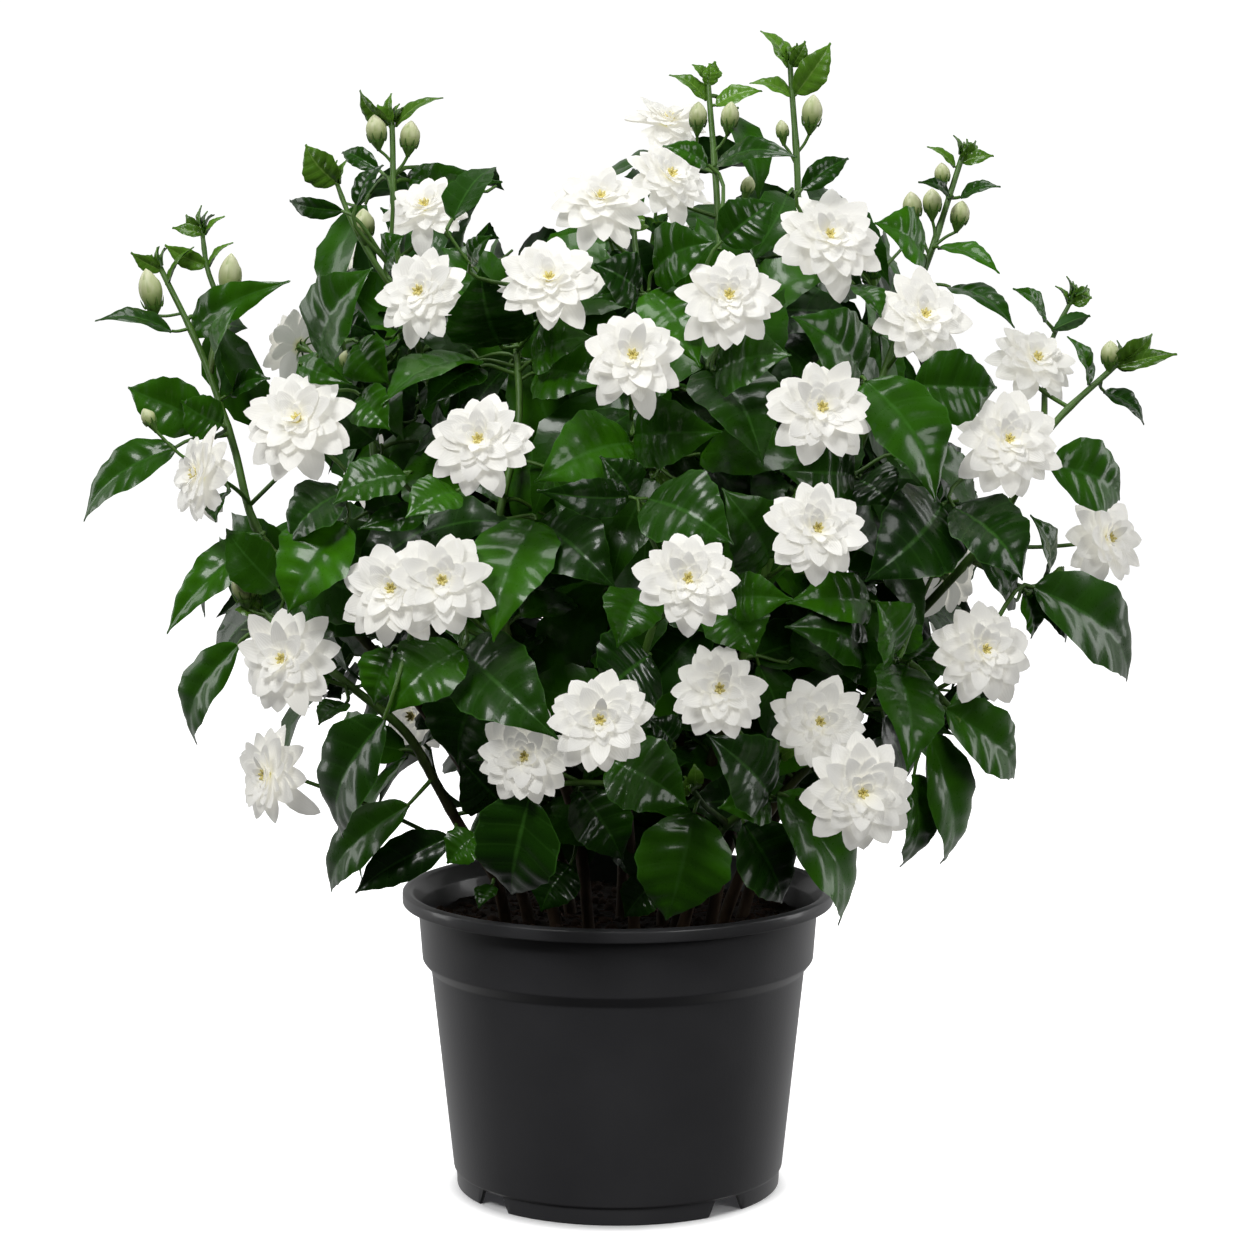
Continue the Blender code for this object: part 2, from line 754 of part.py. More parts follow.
class Cane:
    """One cane: its stem, side stems, flower stalks, leaves and buds."""

    def __init__(self, name, plan):
        self.name, self.plan = name, plan
        x, y = plan["foot"]
        foot = Vector((x, y, SOIL_TOP - HOLE_DEPTH + GAP))
        route = [Vector((x, y, SOIL_TOP + 3.0)), *[spot(*row) for row in plan["route"]]]
        self.stem = [foot, *flow(route, max(6, len(route)))]
        last = len(self.stem) - 2
        thinner = (CANE_FOOT_RADIUS - CANE_TIP_RADIUS) / last
        self.radii = [CANE_FOOT_RADIUS - thinner * max(i - 1, 0) for i in range(last + 2)]
        self.sides = []
        for rows in plan["sides"]:
            points = [spot(*row) for row in rows]
            points[0] = nearest(even_steps(self.stem[2:]), points[0])
            self.sides.append(flow(points, len(points) + 1))
        self.stalks, self.leaves, self.buds = [], [], []

    def shapes(self):
        """Every shape of the cane."""
        made = [sweep(self.stem, self.radii, 5)]
        made += [side_shape(path) for path in self.sides]
        made += [stalk_shape(path) for path in self.stalks]
        made += [leaf.shape() for leaf in self.leaves]
        made += [bud_shape(*bud) for bud in self.buds]
        return made

    def wood(self):
        """Points along everything that a leaf or bud can spring from."""
        found = []
        for path in [self.stem[2:], *self.sides, *self.stalks]:
            found += even_steps(path)
        return found


def even_steps(path):
    """Points about 4 mm apart on the straight runs between a path's points."""
    found = []
    for a, b in zip(path, path[1:]):
        count = max(1, int((b - a).length / 4))
        found += [a.lerp(b, i / count) for i in range(count)]
    return found


def side_shape(path):
    last = len(path) - 1
    return sweep(path, [1.7 - 0.6 * i / last for i in range(last + 1)], 4)


def stalk_shape(path):
    """A flower stalk that widens into the calyx below its bloom."""
    radii = [1.25] * (len(path) - 1) + [CALYX_RADIUS]
    return sweep(path, radii, 3)


def stalk_paths(bloom, stem):
    """Ways from a stem to a bloom's seat, the most natural first."""
    starts = []
    for a, b in zip(stem[2:], stem[3:]):
        for share in (0.0, 0.33, 0.67):
            point = a.lerp(b, share)
            if point.z < SOIL_TOP + 22:
                continue
            flat = Vector((bloom.seat.x - point.x, bloom.seat.y - point.y)).length
            climb = point.z + 0.45 * flat - bloom.seat.z
            cost = (bloom.seat - point).length + 1.6 * max(0.0, climb)
            starts.append((cost, point, (b - a).normalized()))
    starts.sort(key=lambda row: row[0])
    neck = bloom.seat - bloom.axis * CALYX_LENGTH
    for bend in (0.0, 7.0, -7.0, 14.0, -14.0, 22.0, -22.0):
        for _, start, along in starts[:9]:
            toward = (bloom.seat - start).normalized()
            leave = (along * 0.5 + toward).normalized()
            arrive = (bloom.axis + Vector((0.0, 0.0, 0.35))).normalized()
            sway = toward.cross(Vector((0.0, 0.0, 1.0)))
            middle = reach_over(start, leave, neck, arrive, (0.5,))[0] + sway * bend
            yield [start, middle, neck, bloom.seat]


def wood_under(wood, u, v):
    """The point of the wood that the front view shows nearest to u, v."""
    return min(wood, key=lambda point: math.dist(seen(point), (u, v)))


def nearest(wood, point):
    return min(wood, key=lambda place: (place - point).length_squared)


def leaf_places(row, wood):
    """Ways to lay a leaf that all show it at its place in the front view."""
    u0, v0, u1, v1, width, lift, roll = row
    shown = math.dist((u0, v0), (u1, v1))
    skin = skin_depth(u0, v0) * 0.86 - lift
    tries = []
    for step in range(-4, 10):
        foot = spot(u0, v0, skin + 11.0 * step)
        root = nearest(wood, foot)
        far = max(0.0, (root - foot).length - 10.0)
        outer = skin_depth(u1, v1) - lift - foot.y
        lean = max(-0.75 * shown, min(0.75 * shown, outer))
        for tip_shift in (0.0, -0.25, 0.25, -0.5, 0.5, 0.8):
            tip = spot(u1, v1, foot.y + lean + tip_shift * shown)
            for turn in (0.0, 18.0, -18.0, 36.0, -36.0):
                cost = abs(step) + 5.0 * abs(tip_shift) + abs(turn) / 22.0 + far / 4.0
                tries.append((cost, root, foot, tip, roll + turn))
    tries.sort(key=lambda row: row[0])
    for _, root, foot, tip, turn in tries:
        steps = LEAF_STEPS if width >= 34 and lift > -30 else DEEP_LEAF_STEPS
        if width < 17:
            steps = SMALL_LEAF_STEPS
        yield Leaf(root, foot, tip, width, turn, steps=steps)


def young_places(row, wood):
    """Ways to lay a young leaf of a shoot's tip."""
    u0, v0, u1, v1, width = row
    root = wood_under(wood, u0, v0)
    shown = math.dist((u0, v0), (u1, v1))
    for shift in (0.0, -0.3, 0.3, -0.6, 0.6, -1.0, 1.0):
        for turn in (0.0, 30.0, -30.0, 60.0):
            foot = spot(u0, v0, root.y) * 0.7 + root * 0.3
            tip = spot(u1, v1, root.y + shift * shown)
            yield Leaf(root, foot, tip, width, turn, 0.08, SMALL_LEAF_STEPS)


def bud_places(row, wood):
    """Ways to stand a bud on its stalk."""
    u, v, radius, length, reach = row
    root = wood_under(wood, u, v - length / 2 - reach)
    for shift in (0.0, -5.0, 5.0, -10.0, 10.0, -16.0, 16.0, -24.0, 24.0, -34.0, 34.0):
        middle = spot(u, v, root.y + shift)
        lean = Vector((middle.x - root.x, middle.y - root.y, 0.0)) / (2.5 * (length + reach))
        yield root, middle, radius, length, lean


def fill_places(cane, draw):
    """Leaves in crossed pairs along a cane's wood, each at an even step."""
    quarter = 0
    for path in [cane.stem[3:], *cane.sides, *[stalk[:3] for stalk in cane.stalks]]:
        for a, b in zip(path, path[1:]):
            along = (b - a).normalized()
            side = along.orthogonal().normalized()
            count = max(1, round((b - a).length / FILL_SPACING))
            for i in range(count):
                root = a.lerp(b, (i + 0.5) / count)
                quarter += 1
                for half in (0, 2):
                    turn = math.radians(90 * (quarter + half) + draw.uniform(-25, 25))
                    away = Matrix.Rotation(turn, 3, along) @ side
                    way = (away + along * 0.35 + Vector((0, 0, draw.uniform(-0.1, 0.35)))).normalized()
                    length = draw.uniform(*FILL_LENGTH)
                    width = length * draw.uniform(*FILL_WIDTH)
                    foot = root + way * 8.0
                    tip = foot + way * length - Vector((0, 0, 0.28 * length))
                    yield root, foot, tip, width


def inside_crown(point):
    """Whether a point keeps within the crown and clear of its front."""
    away = point - CROWN_CENTRE
    share = sum((away[i] / CROWN_REACH[i]) ** 2 for i in range(3))
    u, v = seen(point)
    return share < 0.94 and point.y > 0.80 * skin_depth(u, v) and point.z > 158.0


def plant():
    """Lays out the whole shrub: the canes, the blooms, and what found no place."""
    bed, missing = Bed(), []
    bed.add("pot", turned(pot_profile()))
    bed.add("soil", turned(soil_profile()))
    blooms = bloom_list()
    for name, heads in blooms.items():
        for head in heads:
            bed.add(name, head.shape())
    canes = [Cane(name, plan) for name, plan in CANES.items()]
    for cane in canes:
        for shape in cane.shapes():
            for other in bed.crossed(shape, (cane.name, "soil")):
                missing.append(f"{cane.name} crosses {other}")
            bed.add(cane.name, shape)
    for cane in canes:
        for name in cane.plan["blooms"]:
            for head in blooms[name]:
                for path in stalk_paths(head, cane.stem):
                    if not bed.crossed(stalk_shape(path), (cane.name,)):
                        break
                else:
                    missing.append(f"stalk of {name}")
                cane.stalks.append(path)
                bed.add(cane.name, stalk_shape(path))
    for cane in canes:
        wood = cane.wood()
        for row in BUDS.get(cane.name, ()):
            for bud in bud_places(row, wood):
                if not bed.crossed(bud_shape(*bud), (cane.name,)):
                    cane.buds.append(bud)
                    bed.add(cane.name, bud_shape(*bud))
                    break
            else:
                missing.append(f"{cane.name} bud {row}")
    for cane in canes:
        for row in YOUNG.get(cane.name, ()):
            if not settle(young_places(row, cane.wood()), cane, bed):
                missing.append(f"{cane.name} young {row}")
    woods = [(cane, cane.wood()) for cane in canes]
    for row in LEAVES:
        aim = spot(row[0], row[1], skin_depth(row[0], row[1]) * 0.86 - row[5])
        woods.sort(key=lambda pair: (nearest(pair[1], aim) - aim).length)
        for cane, wood in woods[:2]:
            if settle(leaf_places(row, wood), cane, bed):
                # a long petiole is a side twig, from which others may spring
                leaf = cane.leaves[-1]
                if (leaf.foot - leaf.root).length > TWIG:
                    wood += even_steps([leaf.root, leaf.foot])
                break
        else:
            missing.append(f"leaf {row}")
    draw = random.Random(SEED)
    spots = []
    for cane in canes:
        spots += [(cane, *place) for place in fill_places(cane, draw)]
    draw.shuffle(spots)
    spots.sort(key=lambda place: place[2].y < 20.0)
    laid = 0
    for cane, root, foot, tip, width in spots:
        if laid == FILL_LEAVES:
            break
        if inside_crown(tip) and inside_crown(foot):
            tries = [Leaf(root, foot, tip, width, turn, steps=DEEP_LEAF_STEPS) for turn in (0, 25, -25)]
            laid += settle(tries, cane, bed)
    return canes, blooms, missing


def settle(tries, cane, bed):
    """Takes the first leaf that is clear of all but its own root."""
    for leaf in tries:
        if bed.crossed(leaf.shape(0.5), (cane.name,)):
            continue
        if bed.crossed(leaf.shape(0.3, petiole=False), only=cane.name):
            continue
        if bed.crossed(leaf.shape(0.2), only=cane.name, kind="blade"):
            continue
        cane.leaves.append(leaf)
        bed.add(cane.name, leaf.shape())
        bed.add(cane.name, leaf.shape(petiole=False), "blade")
        return True
    return False


def pot_profile():
    """The pot's section from the middle of its underside round to its floor."""
    body_x, body_z = BODY_TOP
    foot_x, foot_z = COLLAR_FOOT
    collar_x, collar_z = COLLAR_TOP
    return [
        (0.0, FLOOR_UNDER),
        (FOOT_RADIUS - WALL, FLOOR_UNDER),
        (FOOT_RADIUS - WALL, 0.0),
        (FOOT_RADIUS, 0.0),
        (FOOT_RADIUS + 0.3, FOOT_HEIGHT),
        (BODY_FOOT_RADIUS, FOOT_HEIGHT + 0.8),
        (body_x, body_z),
        (foot_x, foot_z),
        (collar_x, collar_z),
        (LIP_RADIUS, collar_z + 0.4),
        (LIP_RADIUS, LIP_TOP - 1.0),
        (LIP_RADIUS - 2.8, LIP_TOP),
        (LIP_RADIUS - 5.2, LIP_TOP - 1.2),
        (collar_x - WALL, collar_z - 1.0),
        (body_x - WALL, body_z + 1.3),
        (BODY_FOOT_RADIUS - WALL, FLOOR_TOP),
        (0.0, FLOOR_TOP),
    ]


def soil_profile():
    """The soil's section: the pot's inside, GAP clear of it, up to its surface."""
    low, high = BODY_TOP[1] + 1.3, COLLAR_TOP[1] - 1.0
    narrow, wide = BODY_TOP[0] - WALL, COLLAR_TOP[0] - WALL
    rim = narrow + (wide - narrow) * (SOIL_TOP - low) / (high - low)
    clear = GAP + 0.1
    return [
        (0.0, FLOOR_TOP + GAP),
        (BODY_FOOT_RADIUS - WALL - clear, FLOOR_TOP + GAP),
        (narrow - clear, low),
        (rim - clear, SOIL_TOP),
        (0.0, SOIL_TOP),
    ]


def turned(profile):
    """A shape turned round the pot's axis from a section that starts and ends on it."""
    points, faces = [], []
    for radius, height in profile[1:-1]:
        for k in range(SIDES):
            turn = math.tau * (k + 0.5) / SIDES
            points.append(Vector((radius * math.cos(turn), radius * math.sin(turn), height)))
    first, last = len(points), len(points) + 1
    points += [Vector((0.0, 0.0, profile[0][1])), Vector((0.0, 0.0, profile[-1][1]))]
    rows = len(profile) - 2
    for k in range(SIDES):
        after = (k + 1) % SIDES
        faces.append((first, after, k))
        for row in range(rows - 1):
            a, b = row * SIDES + k, row * SIDES + after
            faces.append((a, b, b + SIDES, a + SIDES))
        faces.append(((rows - 1) * SIDES + k, (rows - 1) * SIDES + after, last))
    return points, faces


def finish(name, colour, roughness, metallic=0.0):
    """A material with the part's colour, roughness and metallic value."""
    material = bpy.data.materials.new(name)
    material.use_nodes = True
    shader = material.node_tree.nodes["Principled BSDF"]
    shader.inputs["Base Color"].default_value = (*colour, 1.0)
    shader.inputs["Roughness"].default_value = roughness
    shader.inputs["Metallic"].default_value = metallic
    material.diffuse_color = (*colour, 1.0)
    return material


def body(name, shape, material, collection=None):
    """An object in metres from a shape in millimetres, its faces turned outwards."""
    mesh = bpy.data.meshes.new(name)
    mesh.from_pydata([point * MM for point in shape[0]], [], shape[1])
    shell = bmesh.new()
    shell.from_mesh(mesh)
    bmesh.ops.recalc_face_normals(shell, faces=shell.faces)
    shell.to_mesh(mesh)
    shell.free()
    mesh.materials.append(material)
    made = bpy.data.objects.new(name, mesh)
    (collection or bpy.context.scene.collection).objects.link(made)
    return made


def keep_largest(mesh):
    """Keeps a mesh's largest skin, which fills a sealed hollow and drops a scrap."""
    shell = bmesh.new()
    shell.from_mesh(mesh)
    left, skins = set(shell.verts), []
    while left:
        skin, edge = set(), [left.pop()]
        while edge:
            vertex = edge.pop()
            skin.add(vertex)
            for link in vertex.link_edges:
                other = link.other_vert(vertex)
                if other in left:
                    left.discard(other)
                    edge.append(other)
        skins.append(skin)
    largest = max(skins, key=len)
    loose = [vertex for vertex in shell.verts if vertex not in largest]
    bmesh.ops.delete(shell, geom=loose, context="VERTS")
    shell.to_mesh(mesh)
    shell.free()


def joined(name, shapes, material):
    """One solid of all the shapes: a single union on the collection of the rest."""
    stem = body(name, shapes[0], material)
    if len(shapes) == 1:
        return stem
    rest = bpy.data.collections.new(f"{name}_rest")
    bpy.context.scene.collection.children.link(rest)
    for i, shape in enumerate(shapes[1:]):
        body(f"{name}_rest_{i}", shape, material, rest)
    union = stem.modifiers.new("union", "BOOLEAN")
    union.operation = "UNION"
    union.operand_type = "COLLECTION"
    union.collection = rest
    union.solver = "MANIFOLD"
    bpy.context.view_layer.update()
    graph = bpy.context.evaluated_depsgraph_get()
    whole = bpy.data.meshes.new_from_object(stem.evaluated_get(graph))
    keep_largest(whole)
    stem.modifiers.clear()
    stem.data = whole
    for other in list(rest.objects):
        bpy.data.objects.remove(other)
    bpy.data.collections.remove(rest)
    return stem


def cut(target, shapes, material):
    """Takes the shapes away from an object, which keeps the cutters hidden."""
    tools = bpy.data.collections.new(f"{target.name}_cutters")
    bpy.context.scene.collection.children.link(tools)
    for i, shape in enumerate(shapes):
        cutter = body(f"{target.name}_cutter_{i}", shape, material, tools)
        cutter.hide_render = True
        cutter.display_type = "WIRE"
    cutting = target.modifiers.new("cut", "BOOLEAN")
    cutting.operation = "DIFFERENCE"
    cutting.operand_type = "COLLECTION"
    cutting.collection = tools


def notch_shape(turn):
    """A wedge with slanted sides that opens the foot ring from below."""
    out = Vector((math.sin(turn), -math.cos(turn), 0.0))
    side = Vector((math.cos(turn), math.sin(turn), 0.0))
    rings = []
    for radius in (FOOT_RADIUS - 8.0, FOOT_RADIUS + 4.0):
        ring = []
        narrow, wide = NOTCH_WIDTH
        for across, height in ((-wide, -1.0), (wide, -1.0), (narrow, FOOT_HEIGHT - 0.4), (-narrow, FOOT_HEIGHT - 0.4)):
            ring.append(out * radius + side * across / 2 + Vector((0.0, 0.0, height)))
        rings.append(ring)
    return loft(rings)


def peg(x, y, low, high, radius, sides):
    """An upright prism."""
    return sweep([Vector((x, y, low)), Vector((x, y, high))], [radius, radius], sides)


def make_pot(material):
    pot = body("pot", turned(pot_profile()), material)
    turns = [math.radians(NOTCH_TURN + 90.0 * i) for i in range(NOTCH_COUNT)]
    tools = [notch_shape(turn) for turn in turns]
    for turn in turns:
        x, y = DRAIN_RING * math.sin(turn), -DRAIN_RING * math.cos(turn)
        tools.append(peg(x, y, FLOOR_UNDER - 1.0, FLOOR_TOP + 1.0, DRAIN_RADIUS, 6))
    cut(pot, tools, material)
    pot.data.shade_smooth()
    pot.data.set_sharp_from_angle(angle=math.radians(35))
    return pot


def make_soil(material):
    soil = body("soil", turned(soil_profile()), material)
    holes = []
    for plan in CANES.values():
        x, y = plan["foot"]
        holes.append(peg(x, y, SOIL_TOP - HOLE_DEPTH, SOIL_TOP + 8.0, HOLE_RADIUS, 5))
    cut(soil, holes, material)
    return soil


def centre_on_box():
    """Moves the whole so that the middle of its box stands over the origin."""
    low, high = [math.inf] * 2, [-math.inf] * 2
    shown = [made for made in bpy.context.scene.objects if not made.hide_render]
    for made in shown:
        for vertex in made.data.vertices:
            for i in range(2):
                low[i], high[i] = min(low[i], vertex.co[i]), max(high[i], vertex.co[i])
    shift = Vector(((low[0] + high[0]) / -2, (low[1] + high[1]) / -2, 0.0))
    for made in bpy.context.scene.objects:
        made.data.transform(Matrix.Translation(shift))


def main():
    for old in list(bpy.data.objects):
        bpy.data.objects.remove(old)
    plastic = finish("pot_plastic", (0.027, 0.027, 0.030), 0.42)
    earth = finish("soil", (0.022, 0.013, 0.009), 0.95)
    green = finish("foliage", (0.020, 0.110, 0.012), 0.35)
    white = finish("petals", (0.90, 0.89, 0.85), 0.60)
    canes, blooms, missing = plant()
    make_pot(plastic)
    make_soil(earth)
    for cane in canes:
        joined(cane.name, cane.shapes(), green)
    for name, heads in blooms.items():
        joined(name, [head.shape() for head in heads], white)
    centre_on_box()
    return canes, blooms, missing


main()
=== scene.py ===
"""A double white jasmine shrub in a black nursery pot, dressed over its solids.

The sections follow the plant from the floor up: the view and the studio, the pot,
the soil, the canes with their stalks, buds and leaves, and last the blooms.
Shapes are worked out in millimetres from the pot's axis and from its foot.
"""

import math
import random

import bpy
import numpy as np
from mathutils import Matrix, Vector
from mathutils.kdtree import KDTree


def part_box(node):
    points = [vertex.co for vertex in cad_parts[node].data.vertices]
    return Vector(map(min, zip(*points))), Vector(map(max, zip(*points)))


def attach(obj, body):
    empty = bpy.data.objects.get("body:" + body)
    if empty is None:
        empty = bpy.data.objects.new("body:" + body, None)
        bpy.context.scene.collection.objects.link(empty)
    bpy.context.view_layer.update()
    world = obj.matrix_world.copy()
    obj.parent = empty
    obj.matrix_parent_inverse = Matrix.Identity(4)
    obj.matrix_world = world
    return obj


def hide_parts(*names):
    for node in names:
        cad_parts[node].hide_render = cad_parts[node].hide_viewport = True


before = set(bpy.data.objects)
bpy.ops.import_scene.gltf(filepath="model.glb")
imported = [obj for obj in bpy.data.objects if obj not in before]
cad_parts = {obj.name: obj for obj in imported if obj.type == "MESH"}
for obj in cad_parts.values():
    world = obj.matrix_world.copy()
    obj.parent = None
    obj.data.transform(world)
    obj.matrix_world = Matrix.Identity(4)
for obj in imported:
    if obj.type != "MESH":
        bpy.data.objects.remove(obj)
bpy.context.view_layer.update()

# The view: the eye stands 1.58 m in front of the pot and a little above the middle
# of the plant, and looks down by 6.45 degrees. u runs right and v runs up in a
# picture plane through the pot's foot.
MM = 0.001
pot_low, pot_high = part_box("pot")
AXIS = np.array([(pot_low[0] + pot_high[0]) / 2, (pot_low[1] + pot_high[1]) / 2, 0.0])
EYE = Vector((4.5, -1580.0, 456.0))
EYE_TILT = math.radians(6.45)
PICTURE_REACH = 1622.5
PICTURE_CENTRE = (4.5, 278.0)
LENS = 93.16


def spot(u, v, depth):
    """The point at this depth (y) that lies at u, v of the front view."""
    across = (u - PICTURE_CENTRE[0]) / PICTURE_REACH
    up = (v - PICTURE_CENTRE[1]) / PICTURE_REACH
    cos, sin = math.cos(EYE_TILT), math.sin(EYE_TILT)
    run = (depth - EYE.y) / (cos + up * sin)
    return Vector((EYE.x + run * across, depth, EYE.z + run * (up * cos - sin)))


def seen(point):
    """The u, v of the front view at which a point lies."""
    cos, sin = math.cos(EYE_TILT), math.sin(EYE_TILT)
    away = point - EYE
    run = away.y * cos - away.z * sin
    rise = away.y * sin + away.z * cos
    return (
        PICTURE_CENTRE[0] + PICTURE_REACH * away.x / run,
        PICTURE_CENTRE[1] + PICTURE_REACH * rise / run,
    )


camera = bpy.data.objects.new("camera", bpy.data.cameras.new("camera"))
camera.data.lens = LENS
camera.location = Vector(AXIS) + EYE * MM
camera.rotation_euler = (math.radians(90.0) - EYE_TILT, 0.0, 0.0)
bpy.context.scene.collection.objects.link(camera)
bpy.context.scene.camera = camera
bpy.context.scene.view_settings.view_transform = "Standard"

# The studio: a round white floor that curves up into a wall on all sides, a key
# light on the left, a weaker one on the right, two strips at the sides, one above,
# and a white surround that is bright behind the plant and dim in front of it.
FLOOR_INNER = (0.8, 2.5)
FLOOR_REACH = 5.5
WALL_BEND = 1.6
WALL_TOP = 7.0
FLOOR_TURNS = 72
# a painted contact shadow on the floor under the pot: the radii in metres over which its dark
# core and its faint outer edge fade out
PAINTED_SHADOW_CORE = (0.074, 0.088)
PAINTED_SHADOW_EDGE = (0.085, 0.170)


class Flow:
    """One output of a shader node. Python's operators on it add Math nodes."""

    def __init__(self, nodes, socket):
        self.nodes, self.socket = nodes, socket

    def math(self, operation, *inputs, clamp=False):
        """A Math node's result for these inputs, held from 0 to 1 with clamp."""
        settings = {"operation": operation, "use_clamp": clamp}
        return self.nodes.node("ShaderNodeMath", settings, dict(enumerate(inputs)))

    def __add__(self, other):
        return self.math("ADD", self, other)

    def __sub__(self, other):
        return self.math("SUBTRACT", self, other)

    def __rsub__(self, other):
        return self.math("SUBTRACT", other, self)

    def __mul__(self, other):
        return self.math("MULTIPLY", self, other)

    def __truediv__(self, other):
        return self.math("DIVIDE", self, other)

    def __pow__(self, other):
        return self.math("POWER", self, other)

    __radd__ = __add__
    __rmul__ = __mul__

    def size(self):
        """The value without its sign."""
        return self.math("ABSOLUTE", self)

    def ramp(self, low, high):
        """0 at low and 1 at high, straight between them."""
        return self.math("MULTIPLY", (self - low) / (high - low), 1.0, clamp=True)

    def sine(self):
        """The sine of the value in radians."""
        return self.math("SINE", self)


class Nodes:
    """A tree of shader nodes, of a material or of the world."""

    def __init__(self, tree):
        self.tree = tree

    def feed(self, socket, value):
        """Gives a socket its value: another node's output, or a constant."""
        if isinstance(value, Flow):
            self.tree.links.new(value.socket, socket)
        else:
            socket.default_value = value

    def node(self, kind, settings, inputs, output=0):
        """An output of a new node of this kind, with its settings and inputs."""
        made = self.tree.nodes.new(kind)
        for key, value in settings.items():
            setattr(made, key, value)
        for key, value in inputs.items():
            self.feed(made.inputs[key], value)
        return Flow(self, made.outputs[output])


class Paint(Nodes):
    """A material made of nodes, with its Principled shader."""

    def __init__(self, name, roughness, **values):
        self.material = bpy.data.materials.new(name)
        self.material.use_nodes = True
        super().__init__(self.material.node_tree)
        self.shader = self.tree.nodes["Principled BSDF"]
        self.place = self.node("ShaderNodeTexCoord", {}, {}, "Object")
        self.give("Roughness", roughness)
        for socket, value in values.items():
            self.give(socket.replace("_", " "), value)

    def give(self, socket, value):
        """Gives the shader's socket of this name its value."""
        self.feed(self.shader.inputs[socket], value)

    def mark(self, name):
        """The mark of this name that a mesh carries at its points."""
        return self.node("ShaderNodeAttribute", {"attribute_name": name}, {}, "Fac")

    def noise(self, scale, detail, stretch=(1.0, 1.0, 1.0)):
        """Noise from 0 to 1 whose grain is about 1/scale metres, drawn out by stretch."""
        where = self.node("ShaderNodeMapping", {}, {"Vector": self.place, "Scale": stretch})
        inputs = {"Vector": where, "Scale": scale, "Detail": detail}
        return self.node("ShaderNodeTexNoise", {}, inputs)

    def mix(self, share, *colours):
        """The first of two colours where share is 0 and the second where it is 1."""
        first, second = (
            colour if isinstance(colour, Flow) else (*colour, 1.0) for colour in colours
        )
        inputs = {0: share, 6: first, 7: second}
        return self.node("ShaderNodeMix", {"data_type": "RGBA"}, inputs, 2)

    def bump(self, height, depth):
        """A relief whose full height is depth metres."""
        inputs = {"Height": height, "Distance": depth}
        self.give("Normal", self.node("ShaderNodeBump", {}, inputs))


def full_turn(count):
    """This many angles, evenly spaced round a full turn from 0."""
    return np.linspace(0.0, math.tau, count, endpoint=False)


def floor_sheet():
    """A sheet turned round the axis: flat floor, quarter circle, upright wall."""
    bend = np.linspace(0.0, math.pi / 2, 16)
    curve = FLOOR_REACH + WALL_BEND * np.sin(bend)
    radius = np.concatenate([FLOOR_INNER, curve, [FLOOR_REACH + WALL_BEND]])
    height = np.concatenate([[0.0, 0.0], WALL_BEND * (1.0 - np.cos(bend)), [WALL_TOP]])
    turn = full_turn(FLOOR_TURNS)
    x, y = radius[:, None] * np.cos(turn), radius[:, None] * np.sin(turn)
    points = np.stack([x, y, np.broadcast_to(height[:, None], x.shape)], -1).reshape(-1, 3)
    ring = np.arange(FLOOR_TURNS)
    after = (ring + 1) % FLOOR_TURNS
    row = np.arange(len(radius) - 1)[:, None] * FLOOR_TURNS
    here, beside = row + ring, row + after
    faces = np.stack([here, here + FLOOR_TURNS, beside + FLOOR_TURNS, beside], -1)
    mesh = bpy.data.meshes.new("floor")
    mesh.from_pydata(points, [], [*faces.reshape(-1, 4).tolist(), ring.tolist()])
    mesh.shade_smooth()
    return bpy.data.objects.new("floor", mesh)


floor = floor_sheet()
bpy.context.scene.collection.objects.link(floor)
backdrop = Paint(
    "studio_white", 0.9, Base_Color=(0.93, 0.93, 0.93, 1.0), Specular_IOR_Level=0.1,
    Emission_Strength=1.0,
)
place = {"Vector": backdrop.place}
across, along, height = (backdrop.node("ShaderNodeSeparateXYZ", {}, place, key) for key in "XYZ")
white = backdrop.mix(height.ramp(0.0, 1.0), (0.97, 0.97, 0.97), (1.0, 1.0, 1.0))
# painted shadow: the floor's glow turns nearly black under the pot's foot and fades out just
# beyond it, standing in for the shade that the floor does not take
from_pot = (across * across + along * along) ** 0.5
painted_shadow_mask = from_pot.ramp(*PAINTED_SHADOW_CORE) * 0.93 + from_pot.ramp(*PAINTED_SHADOW_EDGE) * 0.07
backdrop.give("Emission Color", backdrop.mix(painted_shadow_mask, (0.02, 0.02, 0.022), white))
floor.data.materials.append(backdrop.material)
floor.visible_glossy = False
floor.visible_diffuse = False
floor.visible_shadow = False

LIGHT_AIM = Vector((0.0, 0.0, 0.3))
# each light's place, its width and height, and its power in watts
LIGHTS = {
    "key": ((-0.9, -1.5, 2.0), (0.8, 0.8), 31.0),
    "fill": ((1.4, -1.7, 1.2), (0.9, 0.9), 14.0),
    "left strip": ((-1.9, 0.5, 0.7), (0.5, 1.8), 10.0),
    "right strip": ((1.9, 0.5, 0.7), (0.5, 1.8), 10.0),
    "sky": ((0.0, -0.1, 2.2), (1.0, 0.8), 15.5),
}
for name, (place, (wide, high), power) in LIGHTS.items():
    lamp = bpy.data.lights.new(name, "AREA")
    lamp.shape = "RECTANGLE"
    lamp.size, lamp.size_y, lamp.energy = wide, high, power
    light = bpy.data.objects.new(name, lamp)
    light.location = place
    light.rotation_euler = (LIGHT_AIM - Vector(place)).to_track_quat("-Z", "Y").to_euler()
    bpy.context.scene.collection.objects.link(light)
world = bpy.data.worlds.new("studio")
world.use_nodes = True
surround = Nodes(world.node_tree)
way = surround.node("ShaderNodeTexCoord", {}, {}, "Generated")
behind = surround.node("ShaderNodeSeparateXYZ", {}, {"Vector": way}, "Y")
reach = {"Value": behind, "From Min": 0.0, "From Max": 0.8, "To Min": 0.03, "To Max": 0.44}
background = world.node_tree.nodes["Background"]
